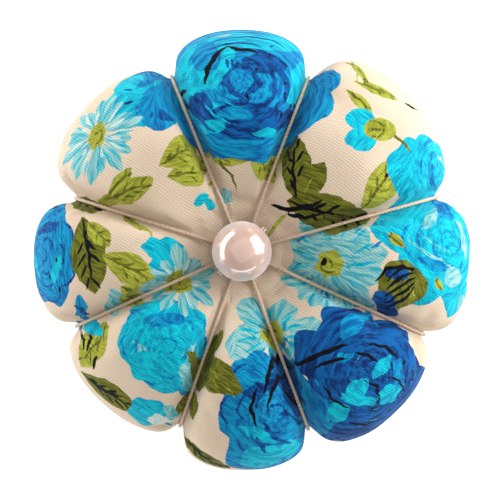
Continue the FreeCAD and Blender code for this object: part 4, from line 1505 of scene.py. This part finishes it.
@dataclass
class TwistedCord:
    """Three-ply cord or thread laid along a route, twisted by Geometry Nodes."""

    name: str
    diameter: float
    pitch: float  # millimetres of cord to one full turn of its plies
    spacing: float = 0.17
    sides: int = 12

    def section(self) -> list[Place]:
        """Outline of three plies pressed together.

        Returns:
            Points of the outline.
        """
        outline = []
        for side in range(self.sides):
            angle = 2 * pi * side / self.sides
            radius = self.diameter / 2 * (0.8 + 0.2 * abs(cos(1.5 * angle)) ** 0.8)
            outline.append((radius * cos(angle), radius * sin(angle)))
        return outline

    def curve_mesh(self, name: str, points: np.ndarray, closed: bool) -> Object:
        """Bare chain of edges through points in millimetres.

        Args:
            name: Name of the object.
            points: Points along the chain.
            closed: Whether the last joins the first.

        Returns:
            The chain as an object.
        """
        count = len(points)
        edges = [(place, place + 1) for place in range(count - 1)]
        if closed:
            edges.append((count - 1, 0))
        mesh = bpy.data.meshes.new(name)
        mesh.from_pydata((np.asarray(points) * MM).tolist(), edges, [])
        piece = bpy.data.objects.new(name, mesh)
        bpy.context.scene.collection.objects.link(piece)
        return piece

    def build(self, route: np.ndarray, material: Material, closed: bool = False) -> Object:
        """Sweep the plies along a route.

        Args:
            route: Points of the middle line in millimetres.
            material: Finish of the cord.
            closed: Whether the route closes on itself.

        Returns:
            The cord as a plain mesh.
        """
        outline = np.array([(x, y, 0) for x, y in self.section()])
        shape = self.curve_mesh(f"{self.name}_section", outline, True)
        piece = self.curve_mesh(self.name, route, closed)
        tree = bpy.data.node_groups.new(f"{self.name}_twist", "GeometryNodeTree")
        face = tree.interface
        face.new_socket("Geometry", in_out="INPUT", socket_type="NodeSocketGeometry")
        inputs = {}
        for label, kind, value in (("Section", "NodeSocketObject", shape),
                                   ("Spacing", "NodeSocketFloat", self.spacing * MM),
                                   ("Pitch", "NodeSocketFloat", self.pitch * MM)):
            socket = face.new_socket(label, in_out="INPUT", socket_type=kind)
            inputs[socket.identifier] = value
        face.new_socket("Geometry", in_out="OUTPUT", socket_type="NodeSocketGeometry")
        given = add_node(tree, "NodeGroupInput").outputs
        line = add_node(tree, "GeometryNodeMeshToCurve", {"Mesh": given["Geometry"]}).outputs[0]
        even = add_node(tree, "GeometryNodeResampleCurve",
                        {"Curve": line, "Length": given["Spacing"]}, mode="LENGTH")
        along = add_node(tree, "GeometryNodeSplineParameter").outputs["Length"]
        turns = add_node(tree, "ShaderNodeMath", {0: along, 1: given["Pitch"]},
                         operation="DIVIDE").outputs[0]
        angle = add_node(tree, "ShaderNodeMath", {0: turns, 1: 2 * pi},
                         operation="MULTIPLY").outputs[0]
        tilted = add_node(tree, "GeometryNodeSetCurveTilt",
                          {0: even.outputs[0], 2: angle}).outputs[0]
        info = add_node(tree, "GeometryNodeObjectInfo", {"Object": given["Section"]})
        ring = add_node(tree, "GeometryNodeMeshToCurve",
                        {"Mesh": info.outputs["Geometry"]}).outputs[0]
        swept = add_node(tree, "GeometryNodeCurveToMesh",
                         {"Curve": tilted, "Profile Curve": ring, "Fill Caps": True}).outputs[0]
        real = add_node(tree, "GeometryNodeRealizeInstances", {"Geometry": swept}).outputs[0]
        smooth = add_node(tree, "GeometryNodeSetShadeSmooth", {"Geometry": real}).outputs[0]
        dressed = add_node(tree, "GeometryNodeSetMaterial",
                           {"Geometry": smooth, "Material": material}).outputs[0]
        add_node(tree, "NodeGroupOutput", {0: dressed})
        modifier = piece.modifiers.new("twist", "NODES")
        modifier.node_group = tree
        for identifier, value in inputs.items():
            modifier[identifier] = value
        plain = applied(piece)
        bpy.data.objects.remove(shape)
        LOG.info("%s: %.1f mm long, %d faces", self.name,
                 np.linalg.norm(np.diff(route, axis=0), axis=1).sum(), len(plain.data.polygons))
        return plain


def rounded(corners: np.ndarray, reach: float, steps: int = 6) -> np.ndarray:
    """Route through corners with each inner one turned by a short curve.

    Args:
        corners: Points in millimetres.
        reach: Longest tangent of a turn.
        steps: Points on each turn.

    Returns:
        Points of the rounded route.
    """
    points = [corners[0]]
    for before, corner, after in zip(corners, corners[1:], corners[2:]):
        for_in, for_out = before - corner, after - corner
        near_in, near_out = np.linalg.norm(for_in), np.linalg.norm(for_out)
        tangent = min(reach, 0.45 * near_in, 0.45 * near_out)
        start, end = corner + for_in / near_in * tangent, corner + for_out / near_out * tangent
        for step in range(steps + 1):
            share = step / steps
            points.append((1 - share) ** 2 * start + 2 * share * (1 - share) * corner
                          + share ** 2 * end)
    points.append(corners[-1])
    return np.array(points)


@dataclass
class SegmentCord:
    """Cord that draws the pouch into lobes: up the middle and round the outside, eight times."""

    form: CushionForm
    diameter: float = 0.7
    rays: Place = (72, -38)  # first and last angle above the rim's height
    sink: float = 0.12  # how far the pull draws it into the cotton
    ring_radius: float = 1.3
    hub_height: float = 28.3
    knot_radius: float = 5.6
    knot_length: float = 2.4

    def at(self, radius: float, azimuth: float, height: float) -> np.ndarray:
        """Point about the stitching axis."""
        return self.form.ring(radius, np.radians(azimuth), height)

    def groove_run(self, tree: BVHTree, azimuth: float, under: float) -> list[np.ndarray]:
        """Middle line of the cord over one groove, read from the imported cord.

        Args:
            tree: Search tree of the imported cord.
            azimuth: The groove's azimuth.
            under: Height under the base.

        Returns:
            Points from the bead to the underside.
        """
        points = []
        for ray in np.linspace(*self.rays, 90):
            hit, normal = self.form.cast(tree, azimuth, ray)
            if hit is None or hit.z / MM < under + 0.5:
                continue
            points.append(np.array(hit - normal * (self.diameter / 2 + self.sink) * MM) / MM)
        return points

    def route(self) -> np.ndarray:
        """Whole route from one end in the knot to the other.

        Returns:
            Points of its middle line.
        """
        azimuths = self.form.groove_azimuths
        under = self.form.underside - self.diameter / 2 - 0.05
        last = azimuths[-1]
        tree = node_tree("segment_cord")
        points = [self.at(self.knot_radius - self.knot_length / 2, last, under)]
        for azimuth in azimuths:
            run = self.groove_run(tree, azimuth, under)
            away = [hypot(*(point[:2] - self.form.axis)) for point in run]
            run = [point for point, reach in zip(run, away) if reach > self.ring_radius + 1.4]
            corners = np.array([self.at(self.ring_radius, last, under),
                                self.at(self.ring_radius, azimuth, self.hub_height), run[0]])
            points += list(rounded(np.array([points[-1], *corners]), 1.0)[1:-1])
            points += run
            heel = self.at(self.form.flat_radius + 1.6, azimuth, under)
            points += list(rounded(np.array([run[-1], heel, self.at(3.0, azimuth, under)]),
                                   2.2)[1:])
            last = azimuth
        points.append(self.at(self.knot_radius + self.knot_length / 2, last, under))
        return np.array(points)


@dataclass
class CordKnot:
    """Overhand knot that joins the cord's two ends under the cushion."""

    cord: SegmentCord
    size: tuple[float, float, float] = (0.17, 0.17, 0.3)
    drop: float = 0.4  # millimetres below the cotton

    def route(self) -> np.ndarray:
        """Closed middle line of the knot, a trefoil.

        Returns:
            Points of the loop.
        """
        form = self.cord.form
        loop = [(sin(turn) + 2 * sin(2 * turn), cos(turn) - 2 * cos(2 * turn), -sin(3 * turn))
                for turn in np.linspace(0, 2 * pi, 60, endpoint=False)]
        place = self.cord.at(self.cord.knot_radius, form.groove_azimuths[-1], form.underside
                             - self.drop)
        return np.array(loop) * self.size + place


@dataclass
class GatheringThread:
    """Thread in the hem of the cotton's mouth, drawn up to a ring."""

    form: CushionForm
    radius: float = 8.6
    height: float = 2.3

    def route(self) -> np.ndarray:
        """Closed middle line of the thread.

        Returns:
            Points of the ring.
        """
        return self.form.ring(self.radius, np.linspace(0, 2 * pi, 120, endpoint=False), self.height)


@dataclass
class PearlBead:
    """Round bead turned about its level bore, with flared mouths."""

    form: CushionForm
    radius: float = 5.0
    bore_radius: float = 0.5
    mouth_flare: float = 0.6
    mouth_depth: float = 0.8
    bore_azimuth: float = 45.0
    sides: int = 96
    arcs: int = 56

    def build(self) -> Object:
        """Revolve the bead's outline into a closed ring.

        Returns:
            The bead as one closed mesh.
        """
        outer = self.bore_radius + self.mouth_flare
        start = asin(outer / self.radius)
        outline = [(self.radius * cos(angle), self.radius * sin(angle))
                   for angle in np.linspace(start, pi - start, self.arcs)]
        inner = self.radius - self.mouth_depth
        outline += [(along, self.bore_radius) for along in np.linspace(-inner, inner, 8)]
        lean = radians(self.bore_azimuth)
        along_way = np.array([cos(lean), sin(lean), 0])
        side_way = np.array([-sin(lean), cos(lean), 0])
        up = np.array([0, 0, 1.0])
        middle = np.array([*self.form.axis, self.form.bead_height])
        rows = []
        for along, reach in outline:
            turns = 2 * np.pi * np.arange(self.sides) / self.sides
            rows.append(middle + along_way * along + reach * (np.outer(np.cos(turns), up)
                                                              + np.outer(np.sin(turns), side_way)))
        points = np.array(rows)
        return mesh_object("pearl_bead_body", points.reshape(-1, 3),
                           grid_faces(len(rows), self.sides, True)[:, ::-1])


@dataclass
class BeadThread:
    """Doubled thread up the middle, round the bead's sides and through its bore."""

    form: CushionForm
    diameter: float = 0.44
    spread: float = 0.3
    wrap: float = 5.32  # radius of its middle line round the bead
    shoulder: float = 0.55  # rise from the straight part to the bead's underside
    entry: float = 0.35  # how far into the bore's mouth the turn reaches
    apart: float = 0.01  # gap between the two strands
    azimuth: float = 45.0

    def route(self, side: int) -> np.ndarray:
        """Middle line of one of the two strands.

        Args:
            side: Minus one or one.

        Returns:
            Points of its middle line.
        """
        height = self.form.bead_height
        under = self.form.underside - 0.4
        angles = np.radians(np.linspace(-82, -6, 24))
        right = [(self.spread, under), (self.spread, height - self.wrap - self.shoulder)]
        right += [(self.wrap * cos(angle), height + self.wrap * sin(angle)) for angle in angles]
        right += [(self.wrap - self.entry, height)]
        flat = np.array(right + [(-x, z) for x, z in reversed(right)])
        lean = radians(self.azimuth)
        apart = side * (self.diameter / 2 + self.apart)
        points = np.stack([self.form.axis[0] + flat[:, 0] * cos(lean) - apart * sin(lean),
                           self.form.axis[1] + flat[:, 0] * sin(lean) + apart * cos(lean),
                           flat[:, 1]], axis=1)
        return rounded(points, 0.5, 4)


@dataclass
class FeltBase:
    """Felt disc pressed in by the cord, with a fringe of loose fibres round its cut edge."""

    form: CushionForm
    radius: float = 21.0
    thickness: float = 1.6
    pocket_radius: float = 7.6
    pocket_floor: float = 0.3
    slot: float = 0.8
    sides: int = 288
    fibres: int = 3600

    def build(self) -> Object:
        """Make the disc and its fringe as one mesh.

        Returns:
            The disc with its fringe.
        """
        turns = np.linspace(0, 2 * pi, self.sides, endpoint=False)
        near = np.min([np.abs((turns - radians(azimuth) + pi) % (2 * pi) - pi)
                       for azimuth in self.form.groove_azimuths], axis=0)
        rows = []
        radii = np.concatenate([[2.2, 7.5, 7.62], np.linspace(8.0, self.radius - 0.35, 16)])
        for radius in radii:
            top = np.where(near * radius < self.slot / 2, 0.84, self.thickness)
            top = np.full_like(top, self.pocket_floor) if radius < self.pocket_radius else top
            rows.append((np.full_like(turns, radius), top))
        edge = self.radius + 0.05 * ripple(np.stack([turns * 9, turns * 4], axis=1), 1.3, 2.0)
        low = np.minimum(rows[-1][1], self.thickness)
        rows.append((edge - 0.08, low - 0.22))
        rows.append((edge, np.full_like(turns, 0.75)))
        rows.append((edge - 0.1, np.full_like(turns, 0.25)))
        for radius in (self.radius - 0.4, 16.0, 10.0, 5.0, 2.2):
            rows.append((np.full_like(turns, radius), np.zeros_like(turns)))
        points = np.array([self.form.ring(radius, turns, height) for radius, height in rows])
        faces = grid_faces(len(rows), self.sides, False).tolist()
        spots = points.reshape(-1, 3).tolist()
        for row, height in ((0, self.pocket_floor), (len(rows) - 1, 0.0)):
            hub = len(spots)
            spots.append([*self.form.axis, height])
            ring = [row * self.sides + side for side in range(self.sides)]
            for side in range(self.sides):
                pair = [ring[side], ring[(side + 1) % self.sides]]
                faces.append([*(pair if row == 0 else pair[::-1]), hub])
        self.fringe(spots, faces)
        return mesh_object("wool_felt_base", np.array(spots), faces)

    def fringe(self, spots: list, faces: list) -> None:
        """Add thin curled fibres round the cut edge.

        Args:
            spots: Corner points to add to.
            faces: Faces to add to.
        """
        rng = np.random.default_rng(11)
        for _count in range(self.fibres):
            turn = rng.uniform(0, 2 * pi)
            height = rng.uniform(0.25, self.thickness - 0.2)
            length, lean, rise = rng.uniform(0.25, 0.7), rng.normal(0, 0.7), rng.normal(0, 0.35)
            start = np.array([self.form.axis[0] + (self.radius - 0.15) * cos(turn),
                              self.form.axis[1] + (self.radius - 0.15) * sin(turn), height])
            out = np.array([cos(turn + lean), sin(turn + lean), rise]) * length
            if start[2] + out[2] < 0.06:
                out[2] = 0.06 - start[2]
            across = np.array([-sin(turn + lean), cos(turn + lean), 0]) * 0.02
            base = len(spots)
            spots.extend([(start + across).tolist(), (start - across).tolist(),
                          (start + np.array([0, 0, 0.03])).tolist(), (start + out).tolist()])
            faces.extend([[base, base + 1, base + 3], [base + 1, base + 2, base + 3],
                          [base + 2, base, base + 3], [base, base + 2, base + 1]])


def dress(piece: Object, material: Material) -> None:
    """Give a piece one material all over."""
    piece.data.materials.clear()
    piece.data.materials.append(material)


@dataclass
class Studio:
    """Camera straight above, pale floor and soft lights."""

    frame_width: float = 86.2  # millimetres across the picture at the rim's height
    distance: float = 520.0
    lens: float = 85.0
    floor_reach: float = 900.0
    floor_glow: float = 0.45  # keeps the floor white in the cushion's own shade
    sky: float = 0.30

    def build(self) -> None:
        """Make the camera, the floor, the world and the lamps."""
        scene = bpy.context.scene
        camera = bpy.data.objects.new("camera", bpy.data.cameras.new("camera"))
        scene.collection.objects.link(camera)
        camera.data.lens = self.lens
        camera.data.sensor_width = self.lens * self.frame_width / self.distance
        camera.data.clip_start, camera.data.clip_end = 0.01, 10
        camera.location = Vector((-0.43, 0.0, 17.0 + self.distance)) * MM
        scene.camera = camera
        reach = self.floor_reach
        corners = [[-reach, -reach, 0], [reach, -reach, 0], [reach, reach, 0], [-reach, reach, 0]]
        floor = mesh_object("studio_floor", np.array(corners), [(0, 1, 2, 3)])
        board = Fibre("matt_white_board", "FBFBFA", "F4F4F2", grain=6.0, sheen=0.0,
                      relief=0.0).make()
        lit = next(node for node in board.node_tree.nodes if node.type == "BSDF_PRINCIPLED")
        lit.inputs["Emission Color"].default_value = linear("FFFFFF")
        lit.inputs["Emission Strength"].default_value = self.floor_glow
        dress(floor, board)
        scene.view_settings.view_transform = "Standard"
        world = bpy.data.worlds.new("soft_studio")
        world.use_nodes = True
        world.node_tree.nodes["Background"].inputs[0].default_value = linear("FFF8F2")
        world.node_tree.nodes["Background"].inputs[1].default_value = self.sky
        scene.world = world
        self.lamp("left_window", (-330, 130, 90), (720, 130), 1.5)
        self.lamp("right_window", (330, 140, 150), (420, 280), 2.1)
        self.lamp("front_board", (40, -420, 70), (640, 60), 0.4)
        self.lamp("overhead", (60, 40, 620), (1100, 1100), 2.2)

    def lamp(self, name: str, place: tuple[float, float, float], size: Place, power: float) -> None:
        """Add a rectangular area lamp that faces the cushion.

        Args:
            name: Name of the lamp.
            place: Its middle.
            size: Its width and height.
            power: Its power in watts.
        """
        data = bpy.data.lights.new(name, "AREA")
        data.shape = "RECTANGLE"
        data.size, data.size_y = size[0] * MM, size[1] * MM
        data.energy = power
        lamp = bpy.data.objects.new(name, data)
        lamp.location = Vector(place) * MM
        lamp.rotation_euler = (-Vector(place)).to_track_quat("-Z", "Y").to_euler()
        bpy.context.scene.collection.objects.link(lamp)


def declare(piece: Object, node: str, body: str) -> None:
    """Log a finished mesh's faces and volume, hide the CAD piece that it stands for and attach it
    to the body that it moves with.

    Args:
        piece: Finished mesh.
        node: CAD node that it stands for.
        body: Body that it moves with.
    """
    form = bmesh.new()
    form.from_mesh(piece.data)
    LOG.info("%s: %d faces round %.3f cm3", piece.name, len(form.faces),
             form.calc_volume(signed=True) * 1e6)
    form.free()
    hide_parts(node)
    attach(piece, body)


def main() -> None:
    """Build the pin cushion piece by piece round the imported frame."""
    logging.basicConfig(level=logging.INFO, format="%(message)s")
    Studio().build()
    form = CushionForm()
    cover = Cover(form)
    cover.shape()
    cotton = cover.build()
    FloralPrint(cover).paint(cotton)
    dress(cotton, PrintedCotton().make())
    declare(cotton, "cotton_cover", "cushion")
    fibre = Filling(cover).build()
    # carded polyester fibre: soft matt white, mottled where tufts shade each other
    dress(fibre, Fibre("polyester_fibrefill", "F4F2EE", "DAD7D0", grain=1.2).make())
    declare(fibre, "fibre_filling", "cushion")
    # waxed three-ply cord: warm beige, darker between the plies, with a faint wax sheen
    cord_finish = Fibre("waxed_twisted_cord", "E2CBB6", "BFA38A", grain=0.4).make()
    # spun polyester sewing thread: paler and finer, with a slight gloss on each turn
    thread_finish = Fibre("ivory_sewing_thread", "DCC8B8", "B79F8C", grain=0.3).make()
    route = SegmentCord(form)
    declare(TwistedCord("twisted_segment_cord", diameter=0.62, pitch=2.2).build(route.route(),
                                                                                cord_finish),
            "segment_cord", "cushion")
    declare(TwistedCord("cord_knot", diameter=0.6, pitch=2.0,
                        spacing=0.12).build(CordKnot(route).route(), cord_finish, True),
            "segment_cord_knot", "cushion")
    gather = GatheringThread(form).route()
    declare(TwistedCord("gathering_thread_ring", diameter=0.4, pitch=1.3).build(gather,
                                                                                thread_finish,
                                                                                True),
            "gathering_thread", "cushion")
    thread = BeadThread(form)
    for name, side in (("bead_thread_strand", -1), ("bead_thread_twin", 1)):
        strand = TwistedCord(name, diameter=0.44, pitch=1.4).build(thread.route(side),
                                                                   thread_finish)
        declare(strand, "bead_thread", "cushion")
    bead = PearlBead(form).build()
    dress(bead, PearlLacquer().make())
    declare(bead, "pearl_bead", "bead")
    felt = FeltBase(form).build()
    # pressed wool felt: dull, speckled with crossing fibres, soft at its cut edge
    dress(felt, Fibre("wool_felt", "F1ECE2", "D9D1C3", grain=0.5, roughness=0.95, relief=0.12,
                      sheen=0.5).make())
    declare(felt, "base_felt", "cushion")
    # uncoated grey board: flat, with the fine flecks of recycled pulp
    dress(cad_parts["base_card"], Fibre("grey_board", "B9B4AC", "96918A", grain=0.8).make())
    LOG.info("base_card: its CAD mesh, dressed")


if __name__ == "__main__":
    main()
